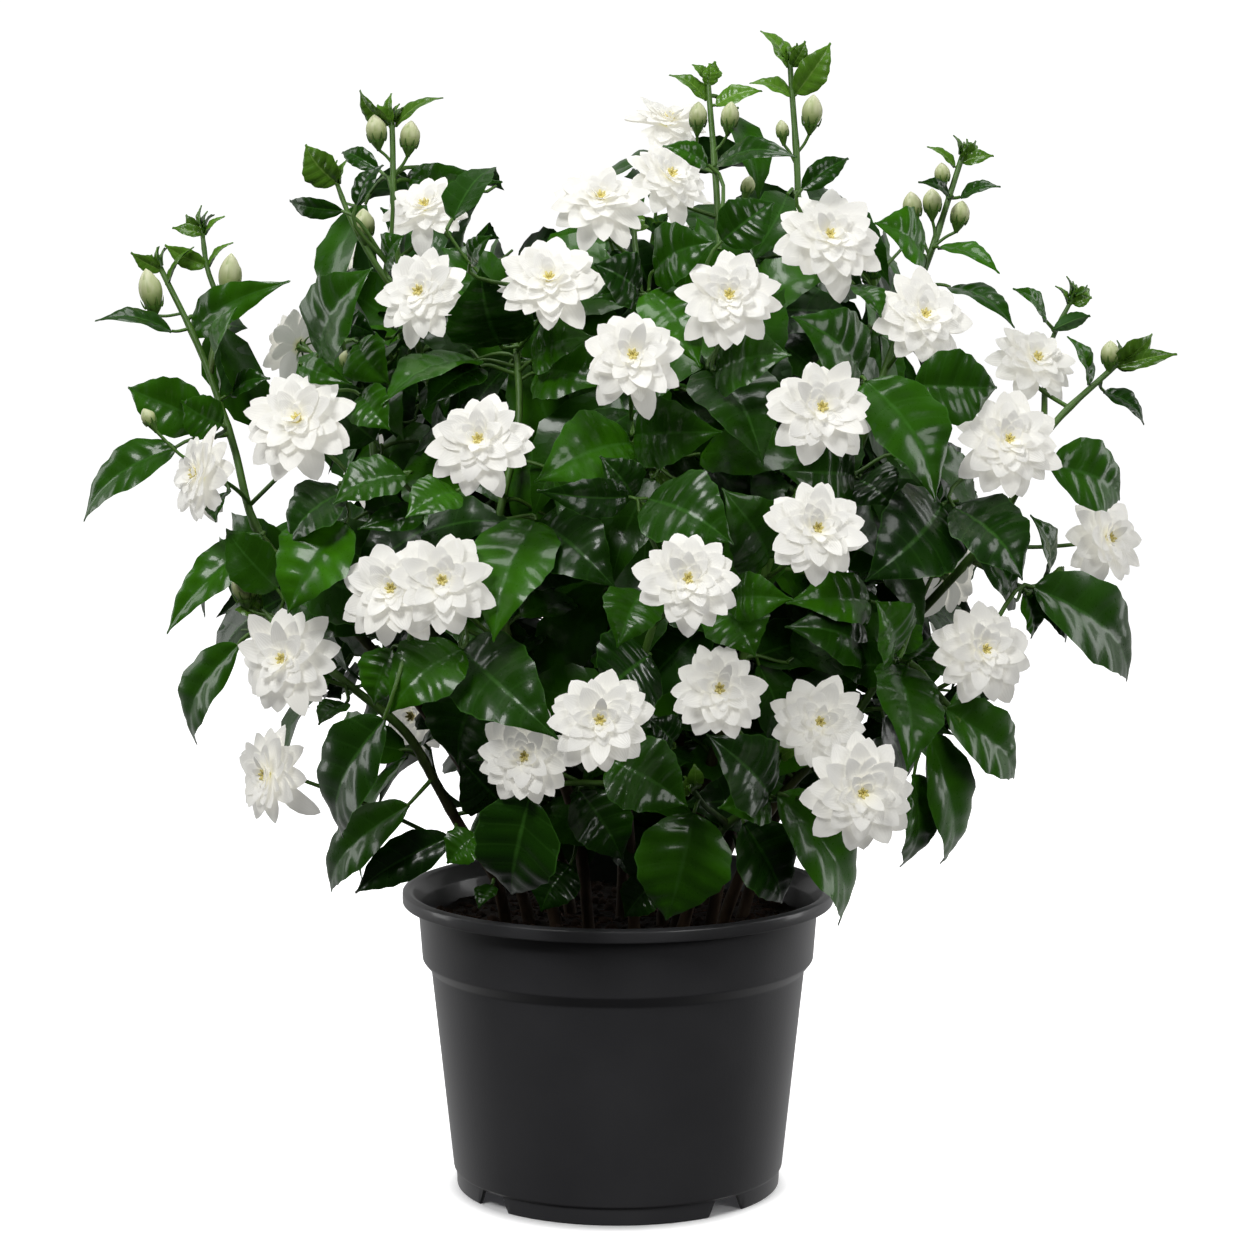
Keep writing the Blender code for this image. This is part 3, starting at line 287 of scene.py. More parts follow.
surround.feed(background.inputs["Color"], (1.0, 1.0, 1.0, 1.0))
glow = surround.node("ShaderNodeMapRange", {}, reach, "Result")
surround.feed(background.inputs["Strength"], glow)
bpy.context.scene.world = world


# The pot: one moulded shell of black plastic with a foot ring that four notches
# cut through, a raised floor with drainage holes, a plain tapered body, a collar
# above a chamfer, and a rolled lip.
WALL = 1.8
FOOT_RADIUS = 80.1
FOOT_HEIGHT = 8.3
BODY_FOOT_RADIUS = 81.7
BODY_TOP = (92.3, 108.5)
COLLAR_FOOT = (96.6, 113.8)
COLLAR_TOP = (98.7, 141.5)
LIP_RADIUS = 106.3
LIP_TOP = 148.6
FLOOR_TOP = 11.0
FLOOR_UNDER = 8.9
NOTCH_COUNT = 4
NOTCH_TURN = 41.0
NOTCH_WIDTH = (15.0, 22.0)
CORNER_CUT = 0.8
DRAIN_RADIUS = 5.0
DRAIN_RING = 52.0
DRILL_ENDS = (FLOOR_UNDER - 1.0, FLOOR_TOP + 1.0)


def closed_faces(rows, around):
    """Faces of a closed skin of rings: four-sided between rings, a fan at each end."""
    ring = np.arange(around)
    after = (ring + 1) % around
    row = np.arange(rows - 1)[:, None] * around
    here, beside = row + ring, row + after
    quads = np.stack([here, beside, beside + around, here + around], -1)
    top = (rows - 1) * around
    first = np.full(around, rows * around)
    start = np.stack([after, ring, first], -1)
    end = np.stack([top + ring, top + after, first + 1], -1)
    return quads.reshape(-1, 4), np.concatenate([start, end])


class Skin:
    """Gathers closed skins into one mesh, with marks that its materials read."""

    MARKS = ("along", "across", "tint", "under", "youth")

    def __init__(self):
        self.points, self.quads, self.fans, self.slots = [], [], [], ([], [])
        self.marks = {name: [] for name in self.MARKS}
        self.total = 0

    def add(self, rings, start, end, slot=0, **marks):
        """Adds skins from rings (count, rows, around, 3) and their two end points."""
        count, rows, around, _ = rings.shape
        points = np.concatenate([rings.reshape(count, -1, 3), start[:, None], end[:, None]], 1)
        shift = np.arange(count)[:, None, None] * points.shape[1] + self.total
        faces_of = zip((self.quads, self.fans), self.slots, closed_faces(rows, around))
        for kept, slots, faces in faces_of:
            kept.append((faces + shift).reshape(-1, faces.shape[1]))
            slots.append(np.full(len(kept[-1]), slot))
        for name, kept in self.marks.items():
            value = np.broadcast_to(marks.get(name, 0.0), (count, rows, around))
            value = value.reshape(count, -1)
            kept.append(np.concatenate([value, value[:, [0, -1]]], 1).ravel())
        self.points.append(points.reshape(-1, 3))
        self.total += points.shape[0] * points.shape[1]

    def tube(self, paths, radii, around, slot=0, **marks):
        """Adds closed tubes with these radii along paths (count, rows, 3)."""
        self.add(tubes(paths, radii, around), paths[:, 0], paths[:, -1], slot, **marks)

    def piece(self, name, paints, slot, *nodes, crease=50.0):
        """The mesh as a piece that rides on the root and stands for these nodes."""
        mesh = bpy.data.meshes.new(name)
        mesh.vertices.add(self.total)
        mesh.vertices.foreach_set("co", (np.concatenate(self.points) * MM + AXIS).ravel())
        quads, fans = np.concatenate(self.quads), np.concatenate(self.fans)
        corners = np.concatenate([quads.ravel(), fans.ravel()]).astype(np.int32)
        fan_starts = quads.size + 3 * np.arange(len(fans))
        starts = np.concatenate([4 * np.arange(len(quads)), fan_starts])
        mesh.loops.add(len(corners))
        mesh.loops.foreach_set("vertex_index", corners)
        mesh.polygons.add(len(starts))
        mesh.polygons.foreach_set("loop_start", starts.astype(np.int32))
        for paint in paints:
            mesh.materials.append(paint.material)
        slots = np.concatenate([*self.slots[0], *self.slots[1]])
        mesh.polygons.foreach_set("material_index", slots.astype(np.int32))
        for mark, values in self.marks.items():
            values = np.concatenate(values).astype(np.float32)
            if values.any():
                mesh.attributes.new(mark, "FLOAT", "POINT").data.foreach_set("value", values)
        mesh.update(calc_edges=True)
        mesh.shade_smooth()
        mesh.set_sharp_from_angle(angle=math.radians(crease))
        piece = bpy.data.objects.new(name, mesh)
        bpy.context.scene.collection.objects.link(piece)
        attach(piece, "root")
        if nodes:
            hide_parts(*nodes)
        return piece


def softened(profile, reach):
    """A section whose corners are cut back by reach and rounded by a parabola."""
    profile = np.array(profile)
    before, here, after = profile[:-2], profile[1:-1], profile[2:]
    back, ahead = before - here, after - here
    long_back = np.linalg.norm(back, axis=1, keepdims=True)
    long_ahead = np.linalg.norm(ahead, axis=1, keepdims=True)
    first = here + back / long_back * np.minimum(reach, long_back * 0.4)
    last = here + ahead / long_ahead * np.minimum(reach, long_ahead * 0.4)
    t = np.linspace(0.0, 1.0, 4)[None, :, None]
    bend = first[:, None] * (1 - t) ** 2 + here[:, None] * 2 * t * (1 - t) + last[:, None] * t**2
    return np.concatenate([profile[:1], bend.reshape(-1, 2), profile[-1:]])


def turned_rings(profile, turns):
    """Rings round the axis: each point of the section at each turn."""
    radius, height = profile[:, 0, None], profile[:, 1, None]
    x, y = radius * np.cos(turns), radius * np.sin(turns)
    return np.stack([x, y, np.broadcast_to(height, x.shape)], -1)


pot_section = [
    # under the raised floor and round the foot ring
    (0.0, FLOOR_UNDER),
    (FOOT_RADIUS - WALL, FLOOR_UNDER),
    (FOOT_RADIUS - WALL, 0.0),
    (FOOT_RADIUS, 0.0),
    (FOOT_RADIUS + 0.3, FOOT_HEIGHT),
    # up the body, the collar and the rolled lip
    (BODY_FOOT_RADIUS, FOOT_HEIGHT + 0.8),
    BODY_TOP,
    COLLAR_FOOT,
    COLLAR_TOP,
    (LIP_RADIUS, COLLAR_TOP[1] + 0.4),
    (LIP_RADIUS, LIP_TOP - 1.0),
    (LIP_RADIUS - 2.8, LIP_TOP),
    (LIP_RADIUS - 5.2, LIP_TOP - 1.2),
    # down the inside to the floor
    (COLLAR_TOP[0] - WALL, COLLAR_TOP[1] - 1.0),
    (BODY_TOP[0] - WALL, BODY_TOP[1] + 1.3),
    (BODY_FOOT_RADIUS - WALL, FLOOR_TOP),
    (0.0, FLOOR_TOP),
]
POT_TURNS = 180
notch_edges = np.array([-NOTCH_WIDTH[1], -NOTCH_WIDTH[0], *NOTCH_WIDTH]) / 2 / FOOT_RADIUS
notch_middles = np.radians(NOTCH_TURN - 90.0 + 360.0 / NOTCH_COUNT * np.arange(NOTCH_COUNT))
pot_turns = np.linspace(-math.pi, math.pi, POT_TURNS, endpoint=False)
notch_turns = (notch_middles[:, None] + notch_edges).ravel()
notch_turns = (notch_turns + math.pi) % math.tau - math.pi
pot_turns = np.unique(np.round(np.concatenate([pot_turns, notch_turns]), 5))
pot_rings = turned_rings(softened(pot_section, CORNER_CUT), pot_turns)

# the foot's lower edge rises over each notch, between its slanted sides
away = np.abs((pot_turns[:, None] - notch_middles + math.pi) % math.tau - math.pi).min(1)
slant = (notch_edges[3] - away) / (notch_edges[3] - notch_edges[2])
notch_rise = np.clip(slant, 0.0, 1.0) * (FOOT_HEIGHT - 0.4)
on_foot = np.linalg.norm(pot_rings[..., :2], axis=-1) > FOOT_RADIUS - WALL - 1.0
risen = np.maximum(pot_rings[..., 2], notch_rise)
pot_rings[..., 2] = np.where(on_foot, risen, pot_rings[..., 2])

pot_skin = Skin()
pot_start, pot_end = np.array([[0.0, 0.0, FLOOR_UNDER]]), np.array([[0.0, 0.0, FLOOR_TOP]])
pot_skin.add(pot_rings[1:-1][None], pot_start, pot_end)

plastic = Paint("pot_plastic", 0.42, Specular_IOR_Level=0.5, Coat_Weight=0.3, Coat_Roughness=0.12)
smudge = plastic.noise(26.0, 4.0)
grain = plastic.noise(900.0, 2.0)
plastic.give("Base Color", plastic.mix(smudge, (0.045, 0.045, 0.049), (0.063, 0.063, 0.067)))
plastic.give("Roughness", 0.36 + smudge * 0.12)
plastic.bump(grain * 0.4 + smudge, 0.00012)
pot = pot_skin.piece("nursery_pot", [plastic], "pot_plastic", "pot", crease=38.0)

drains = Skin()
for turn in notch_middles:
    foot = np.array([DRAIN_RING * math.cos(turn), DRAIN_RING * math.sin(turn), 0.0])
    wall = turned_rings(np.array([(DRAIN_RADIUS, z) for z in DRILL_ENDS]), full_turn(24))
    low, high = (foot + (0.0, 0.0, z) for z in DRILL_ENDS)
    drains.add((wall + foot)[None], low[None], high[None])
drill = drains.piece("drill", [plastic], "pot_plastic")
holes = pot.modifiers.new("drainage", "BOOLEAN")
holes.object, holes.operation = drill, "DIFFERENCE"
bpy.context.view_layer.update()
graph = bpy.context.evaluated_depsgraph_get()
drilled = bpy.data.meshes.new_from_object(pot.evaluated_get(graph))
pot.modifiers.clear()
pot.data = drilled
bpy.data.objects.remove(drill)


# The soil: dark peat compost that fills the pot to 17 mm below its lip, a crust
# of crumbs with reddish fibres.
GAP = 0.3
SOIL_TOP = 131.5
SOIL_RINGS = 46
SOIL_TURNS = 150
CRUMBS = 900
FIBRES = 150
WAVE_LENGTHS = (70.0, 38.0, 21.0, 12.0, 7.0, 4.2, 2.9)
WAVE_SEED = 11
soil_draw = np.random.default_rng(5)


def soil_height(x, y):
    """The soil's surface: waves of many lengths and directions, added together."""
    waves = np.random.default_rng(WAVE_SEED)
    height = np.zeros_like(x)
    for long in WAVE_LENGTHS:
        for _ in range(4):
            turn, phase = waves.uniform(0.0, math.tau, 2)
            across = x * math.cos(turn) + y * math.sin(turn)
            height += 0.017 * long**0.8 * np.sin(math.tau * across / long + phase)
    return height


low, high = BODY_TOP[1] + 1.3, COLLAR_TOP[1] - 1.0
narrow, wide = BODY_TOP[0] - WALL, COLLAR_TOP[0] - WALL
soil_rim = narrow + (wide - narrow) * (SOIL_TOP - low) / (high - low) - GAP - 0.1
soil_side = np.array([
    (BODY_FOOT_RADIUS - WALL - GAP - 0.1, FLOOR_TOP + GAP),
    (narrow - GAP - 0.1, low),
    (soil_rim, SOIL_TOP),
])
soil_flat = np.stack([np.linspace(soil_rim, 1.2, SOIL_RINGS), np.full(SOIL_RINGS, SOIL_TOP)], -1)
soil_rings = turned_rings(np.concatenate([soil_side, soil_flat[1:]]), full_turn(SOIL_TURNS))
top = soil_rings[2:]
top[..., 2] += soil_height(top[..., 0], top[..., 1])
soil_skin = Skin()
soil_skin.add(soil_rings[None], np.array([[0.0, 0.0, FLOOR_TOP + GAP]]), top[-1].mean(0)[None])


def unit(vectors):
    """Each vector divided by its length."""
    return vectors / np.maximum(np.linalg.norm(vectors, axis=-1, keepdims=True), 1e-9)


def spokes(side, over, turn):
    """Vectors at these angles from side towards over."""
    return side * np.cos(turn) + over * np.sin(turn)


def tubes(paths, radii, around):
    """Rings carried along paths (count, rows, 3), each square to its path's run."""
    ahead = unit(np.gradient(paths, axis=1))
    run = unit(paths[:, -1] - paths[:, 0])
    helper = np.where(np.abs(run[:, 2:]) < 0.8, [0.0, 0.0, 1.0], [1.0, 0.0, 0.0])
    side = unit(np.cross(run, helper))[:, None]
    side = unit(side - ahead * (side * ahead).sum(-1, keepdims=True))
    over = np.cross(ahead, side)
    wide = np.broadcast_to(radii, paths.shape[:2])[..., None, None]
    ring = spokes(side[:, :, None], over[:, :, None], full_turn(around)[:, None])
    return paths[:, :, None] + wide * ring


# crumbs: small uneven lumps that sit in the surface
radius = soil_rim * np.sqrt(soil_draw.uniform(0.0, 0.94, CRUMBS))
turn = soil_draw.uniform(0.0, math.tau, CRUMBS)
x, y = radius * np.cos(turn), radius * np.sin(turn)
crumb = np.stack([x, y, SOIL_TOP + soil_height(x, y)], -1)
size = soil_draw.gamma(2.2, 0.55, CRUMBS).clip(0.5, 3.4)
way = unit(soil_draw.normal(size=(CRUMBS, 3)))
path = crumb[:, None] + way[:, None] * size[:, None, None] * np.array([-0.75, 0.0, 0.75])[:, None]
lump = tubes(path, size[:, None] * np.array([0.62, 0.95, 0.6]), 6)
lump += soil_draw.normal(size=lump.shape) * size[:, None, None, None] * 0.13
tint = soil_draw.uniform(0.0, 0.75, CRUMBS)[:, None, None]
ends = size[:, None] * way * 1.05
soil_skin.add(lump, crumb - ends, crumb + ends, tint=tint)

# fibres: thin roots and slivers that lie on the crumbs
radius = soil_rim * np.sqrt(soil_draw.uniform(0.0, 0.9, FIBRES))
turn = soil_draw.uniform(0.0, math.tau, FIBRES)
head = soil_draw.uniform(0.0, math.tau, FIBRES)
long = soil_draw.uniform(5.0, 20.0, FIBRES)
t = np.linspace(-0.5, 0.5, 7)
bend = head[:, None] + soil_draw.uniform(-1.6, 1.6, FIBRES)[:, None] * t
x = (radius * np.cos(turn))[:, None] + long[:, None] * t * np.cos(bend)
y = (radius * np.sin(turn))[:, None] + long[:, None] * t * np.sin(bend)
keep = np.hypot(x, y).max(1) < soil_rim - 2.0
path = np.stack([x, y, SOIL_TOP + 1.3 + soil_height(x, y)], -1)[keep]
thin = soil_draw.uniform(0.25, 0.75, len(path))[:, None] * np.sin(np.linspace(0.35, 2.8, 7))
tint = soil_draw.uniform(0.75, 1.0, len(path))[:, None, None]
soil_skin.tube(path, thin, 5, tint=tint)

earth = Paint("soil", 0.95)
fleck = earth.noise(420.0, 4.0)
clod = earth.noise(120.0, 3.0)
peat = earth.mix(fleck, (0.007, 0.004, 0.003), (0.040, 0.022, 0.013))
peat = earth.mix(earth.mark("tint").ramp(0.0, 1.4), peat, (0.085, 0.038, 0.018))
earth.give("Base Color", peat)
earth.give("Roughness", 0.8 + clod * 0.2)
earth.bump(fleck + clod, 0.0012)
soil_skin.piece("compost", [earth], "soil", "soil", crease=70.0)


# The canes: seventeen stems, woody and brown below and green above, with side
# shoots. Each row: x and y of the hole in the soil from which the cane rises; its
# route as u, v of the front view and depth; its side stems, given the same way; and
# the tags of the blooms that it carries.
HOLE_DEPTH = 13.0
CANE_RADII = (3.2, 1.4)
SIDE_RADII = (1.7, 1.1)
CANES = (
    (
        (-44, -8),
        (
            (-66, 190, -20), (-112, 255, -42), (-158, 303, -50), (-184, 332, -42),
            (-194, 376, -30), (-206, 411, -20), (-217, 426, -14), (-229, 458, -6),
        ),
        (((-203, 402, -22), (-200, 441, -8), (-207, 462, -2), (-208, 476, 2)),),
        "04 03",
    ),
    (
        (-30, -26),
        (
            (-52, 200, -48), (-86, 262, -70), (-112, 318, -72), (-122, 362, -55),
            (-128, 402, -30), (-139, 432, -12),
        ),
        (),
        "29 30 02",
    ),
    (
        (-54, -30),
        (
            (-66, 165, -52), (-82, 180, -66), (-94, 206, -80), (-111, 231, -92),
            (-136, 250, -96), (-158, 268, -80), (-178, 286, -66),
        ),
        (),
        "22 23",
    ),
    (
        (-24, 14),
        (
            (-40, 220, 8), (-66, 310, 0), (-90, 385, -14), (-106, 440, -18),
            (-114, 496, -8), (-113, 530, -2),
        ),
        (((-104, 434, -18), (-121, 459, -16), (-136, 487, -8), (-141, 501, -4)),),
        "01 31",
    ),
    (
        (-14, -38),
        (
            (-24, 195, -62), (-48, 250, -98), (-62, 300, -112), (-56, 345, -110),
            (-48, 395, -92), (-52, 432, -70),
        ),
        (),
        "05 twin 06 32",
    ),
    (
        (2, 2),
        (
            (4, 225, -22), (5, 300, -58), (6, 345, -84), (10, 395, -92),
            (12, 445, -64), (8, 476, -40),
        ),
        (((6, 350, -84), (16, 357, -96), (24, 364, -100)),),
        "10 07",
    ),
    (
        (22, -12),
        (
            (32, 240, -30), (42, 330, -52), (48, 405, -52), (50, 469, -22),
            (48, 530, 6), (45, 551, 8),
        ),
        (),
        "11 08 09",
    ),
    (
        (34, 14),
        (
            (52, 225, 14), (72, 320, 6), (84, 415, -8), (90, 490, -4),
            (89, 541, 6), (86, 560, 10),
        ),
        (),
        "12",
    ),
    (
        (46, -14),
        (
            (70, 230, -26), (100, 310, -52), (122, 365, -64), (124, 400, -72),
            (145, 430, -48), (157, 468, -28), (165, 500, -20), (172, 513, -18),
        ),
        (),
        "13",
    ),
    (
        (62, 2),
        (
            (92, 215, -8), (140, 275, -28), (178, 312, -50), (196, 340, -56),
            (212, 372, -50), (236, 396, -42), (250, 410, -36),
        ),
        (
            ((176, 310, -50), (205, 297, -52), (216, 300, -50)),
            ((212, 372, -50), (214, 405, -10), (219, 428, -2), (227, 442, 0)),
        ),
        "16 15 18",
    ),
    (
        (50, -38),
        (
            (72, 180, -62), (98, 212, -78), (126, 242, -86), (142, 262, -90),
            (160, 250, -96), (166, 238, -98),
        ),
        (),
        "21 19 27",
    ),
    (
        (8, -54),
        (
            (6, 178, -82), (2, 212, -112), (12, 262, -140), (22, 292, -150),
        ),
        (((2, 200, -100), (-24, 200, -118), (-44, 197, -122)),),
        "20 24 25",
    ),
    (
        (28, -38),
        (
            (44, 200, -72), (62, 262, -108), (78, 318, -124), (94, 358, -122),
            (104, 372, -128),
        ),
        (),
        "17 14",
    ),
    (
        (30, -60),
        (
            (44, 165, -84), (62, 186, -104), (76, 194, -116), (80, 212, -122),
        ),
        (((56, 180, -98), (42, 190, -116), (38, 196, -122)),),
        "28 26",
    ),
    (
        (-34, 38),
        (
            (-50, 200, 68), (-82, 268, 100), (-98, 340, 112), (-92, 410, 108),
            (-76, 462, 86),
        ),
        (),
        "33 34 35",
    ),
    (
        (8, 48),
        (
            (10, 210, 86), (14, 280, 122), (10, 350, 134), (8, 420, 120),
            (18, 475, 90),
        ),
        (),
        "36 37 38",
    ),
    (
        (46, 36),
        (
            (72, 205, 68), (108, 270, 96), (126, 340, 104), (130, 400, 90),
            (128, 452, 62),
        ),
        (),
        "39 40",
    ),
)


def flow(points, count):
    """This many points, evenly spaced on the smooth curve through the given ones."""
    knots = [2 * points[0] - points[1], *points, 2 * points[-1] - points[-2]]
    fine = []
    for a, b, c, d in zip(knots, knots[1:], knots[2:], knots[3:]):
        for step in range(12):
            t = step / 12
            bend = 2 * a - 5 * b + 4 * c - d
            twist = 3 * b - a - 3 * c + d
            fine.append(0.5 * (2 * b + (c - a) * t + bend * t**2 + twist * t**3))
    fine.append(points[-1].copy())
    runs = [0.0]
    for a, b in zip(fine, fine[1:]):
        runs.append(runs[-1] + (b - a).length)
    even, at = [], 0
    for i in range(count):
        goal = runs[-1] * i / (count - 1)
        while at < len(runs) - 2 and runs[at + 1] < goal:
            at += 1
        share = (goal - runs[at]) / max(runs[at + 1] - runs[at], 1e-9)
        even.append(fine[at].lerp(fine[at + 1], min(share, 1.0)))
    return even


def even_steps(path):
    """Points about 4 mm apart on the straight runs between a path's points."""
    found = []
    for a, b in zip(path, path[1:]):
        count = max(1, int((b - a).length / 4))
        found += [a.lerp(b, i / count) for i in range(count)]
    return found


def nearest(wood, point):
    """The one of the wood's points that lies nearest to a point."""
    return min(wood, key=lambda place: (place - point).length_squared)


def corners_of(node):
    """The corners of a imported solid, in millimetres from the pot's axis."""
    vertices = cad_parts[node].data.vertices
    tree = KDTree(len(vertices))
    for i, vertex in enumerate(vertices):
        tree.insert((vertex.co - Vector(AXIS)) / MM, i)
    tree.balance()
    return tree


def has_corner(tree, point):
    """Whether a point is a corner of the solid, to within a twentieth of a millimetre."""
    return tree.find(point)[2] < 0.05


def first_fit(ways, fits):
    """The first of the ways that fits the solid, or else the first of all."""
    ways = list(ways)
    return next((way for way in ways if fits(way)), ways[0])


class Cane:
    """One cane: its stem, side stems, flower stalks, leaves and inner twigs, and the
    skin that gathers their shapes.
    """

    def __init__(self, number, place, route, sides, tags):
        self.number, self.node = number, f"leafy_stem_{number:02}"
        self.blooms, self.solid = tags.split(), corners_of(self.node)
        foot = Vector((*place, SOIL_TOP - HOLE_DEPTH + GAP))
        route = [Vector((*place, SOIL_TOP + 3.0)), *[spot(*row) for row in route]]
        self.stem = [foot, *flow(route, max(6, len(route)))]
        self.sides = []
        for rows in sides:
            points = [spot(*row) for row in rows]
            points[0] = nearest(even_steps(self.stem[2:]), points[0])
            self.sides.append(flow(points, len(points) + 1))
        self.stalks, self.leaves, self.twigs = [], [], []
        self.skin = Skin()

    def wood(self):
        """Points along everything that a leaf or bud can spring from."""
        found = []
        for path in [self.stem[2:], *self.sides, *self.stalks]:
            found += even_steps(path)
        return found


canes = [Cane(number, *row) for number, row in enumerate(CANES, 1)]


def add_wood(cane, points, wide, thin, rows, around, green, swell=0.0):
    """A stem on a smooth curve through points, from wide to thin, thicker at its nodes;
    its green share runs from the first value of green to the second.
    """
    path = np.array([tuple(point) for point in flow(points, rows)])[None]
    t = np.linspace(0.0, 1.0, rows)
    radii = wide + (thin - wide) * t
    if swell:
        radii = radii + swell * np.maximum(np.sin(t * rows * 0.9), 0.0) ** 6
    youth = np.clip(green[0] + (green[1] - green[0]) * t, 0.0, 1.0)[:, None]
    cane.skin.tube(path, radii, around, youth=youth, along=t[:, None])


for cane in canes:
    add_wood(cane, cane.stem, *CANE_RADII, 56, 10, (-0.35, 1.1), 0.35)
    for side in cane.sides:
        add_wood(cane, side, *SIDE_RADII, 18, 8, (0.4, 1.0), 0.2)


# The flower stalks: thin green stems from a cane to the seat of each bloom, where
# they widen into a calyx with slender sepals. The solid's corners say which of the
# possible ways each stalk takes. A front bloom's row: u and v of its centre, depth,
# radius, and how far it looks to the right and upwards in degrees. A back bloom's
# row: x, y, z and radius.
STALK_RADII = (1.15, 0.95)
STALK_BENDS = (0.0, 7.0, -7.0, 14.0, -14.0, 22.0, -22.0)
STALK_LOW = SOIL_TOP + 22
CALYX_RADIUS = 2.7
CALYX_LENGTH = 7.0
SEPALS = 7
CURVE_PULL = 0.38
FRONT_BLOOMS = (
    (-96, 486, -40, 22.5, -15, 48), (-98, 444, -95, 22.5, -20, 25),
    (-159, 380, -120, 27.0, -15, 28), (-208, 354, -70, 23.5, -52, 12),
    (-69, 370, -165, 24.0, -8, 25), (-34, 450, -120, 24.5, -5, 35),
    (-9, 490, -75, 23.0, 5, 45), (25, 502, -35, 21.5, 30, 35), (25, 529, 22, 22.0, 25, 62),
    (7, 412, -165, 23.5, 3, 25), (55, 442, -150, 23.5, 5, 25),
    (105, 472, -90, 26.0, 12, 28), (152, 432, -95, 24.5, 18, 30),
    (101, 386, -165, 24.0, 10, 24), (208, 410, -25, 23.0, 25, 42),
    (194, 370, -105, 26.5, 15, 24), (99, 326, -185, 23.5, 8, 22),
    (243, 322, -40, 24.0, 40, 15), (165, 304, -30, 21.0, 125, -10),
    (35, 301, -205, 23.0, 2, 20), (182, 266, -120, 24.5, 15, 15),
    (-166, 261, -120, 24.5, -22, 18), (-173, 204, -70, 24.5, -50, 5),
    (-46, 213, -150, 22.5, -12, 12), (-9, 231, -187, 23.5, 0, 14),
    (50, 246, -175, 21.5, 6, 20), (100, 230, -128, 22.5, 8, 14),
    (121, 195, -168, 26.0, 12, 8), (-160, 419, 20, 22.0, -130, 20),
    (-122, 355, 25, 20.0, -40, 10), (-139, 462, 70, 20.0, -60, 20),
    (-101, 234, 30, 19.0, -30, 0),
)
TWIN_BLOOMS = ((-112, 296, -152, 25.0, -14, 20), (-88, 300, -158, 24.5, 2, 20))
BACK_BLOOMS = (
    (-150, 118, 262, 23.5), (-88, 165, 335, 24.0), (-124, 112, 425, 23.0),
    (-24, 182, 402, 24.5), (22, 190, 272, 24.0), (52, 142, 470, 23.0),
    (100, 165, 345, 24.5), (165, 105, 285, 24.0),
)
CROWN_CENTRE = Vector((5.0, 0.0, 325.0))
SEED = 4127
UP = Vector((0.0, 0.0, 1.0))


def facing(turn, tilt):
    """The unit vector that looks at the viewer, turned right and tilted up, in degrees."""
    turn, tilt = math.radians(turn), math.radians(tilt)
    flat = math.cos(tilt)
    return Vector((math.sin(turn) * flat, -math.cos(turn) * flat, math.sin(tilt)))


def cubic(start, first, second, end, t):
    """The cubic curve's point at t: each of the four weighted by powers of t and 1 - t."""
    rest = 1 - t
    return start * rest**3 + first * 3 * t * rest**2 + second * 3 * t**2 * rest + end * t**3


def reach_over(start, leave, end, arrive, shares):
    """Points of a cubic curve that leaves and arrives along the given directions."""
    pull = CURVE_PULL * (end - start).length
    first, second = start + leave * pull, end - arrive * pull
    return [cubic(start, first, second, end, t) for t in shares]


class Bloom:
    """One double bloom: its centre, the way that it faces, radius and spin. Its ways
    are the axis and two directions square to it and to each other.
    """

    def __init__(self, centre, axis, radius, spin):
        self.centre, self.axis, self.radius, self.spin = centre, axis, radius, spin
        side = UP.cross(axis)
        self.side = (side if side.length > 0.2 else axis.orthogonal()).normalized()
        self.ways = [np.array(way) for way in (axis, self.side, axis.cross(self.side))]
        self.seat = centre - axis * (1.5 + GAP)


def bloom_list():
    """Every bloom by its node's tag; the twin node holds two heads."""
    draw = random.Random(SEED)
    blooms = {}

    def front(u, v, depth, radius, turn, tilt):
        """A bloom of the front, with the next random spin."""
        spin = draw.uniform(0.0, math.tau)
        return Bloom(spot(u, v, depth), facing(turn, tilt), radius, spin)

    for number, row in enumerate(FRONT_BLOOMS, 1):
        blooms[f"{number:02}"] = [front(*row)]
    blooms["twin"] = [front(*row) for row in TWIN_BLOOMS]
    for number, (x, y, z, radius) in enumerate(BACK_BLOOMS, len(FRONT_BLOOMS) + 1):
        axis = Vector((x, y, 0.45 * (z - CROWN_CENTRE.z) + 60.0)).normalized()
        spin = draw.uniform(0.0, math.tau)
        blooms[f"{number:02}"] = [Bloom(Vector((x, y, z)), axis, radius, spin)]
    return blooms


def stalk_paths(bloom, stem):
    """Ways from a stem to a bloom's seat, the most natural first."""
    starts = []
    for a, b in zip(stem[2:], stem[3:]):
        for share in (0.0, 0.33, 0.67):
            point = a.lerp(b, share)
            if point.z < STALK_LOW:
                continue
            flat = Vector((bloom.seat.x - point.x, bloom.seat.y - point.y)).length
            climb = point.z + 0.45 * flat - bloom.seat.z
            cost = (bloom.seat - point).length + 1.6 * max(0.0, climb)
            starts.append((cost, point, (b - a).normalized()))
    starts.sort(key=lambda row: row[0])
    neck = bloom.seat - bloom.axis * CALYX_LENGTH
    for bend in STALK_BENDS:
        for _, start, along in starts[:9]:
            toward = (bloom.seat - start).normalized()
            leave = (along * 0.5 + toward).normalized()
            arrive = (bloom.axis + UP * 0.35).normalized()
            sway = toward.cross(UP)
            middle = reach_over(start, leave, neck, arrive, (0.5,))[0] + sway * bend
            yield [start, middle, neck, bloom.seat]


def stalk_corner(path):
    """A corner of the three-sided stalk at its middle."""
    side = (path[1] - path[0]).orthogonal().normalized()
    for before, after in ((path[0], path[1]), (path[0], path[2])):
        ahead = (after - before).normalized()
        side = (side - ahead * side.dot(ahead)).normalized()
    return path[1] + side * 1.25


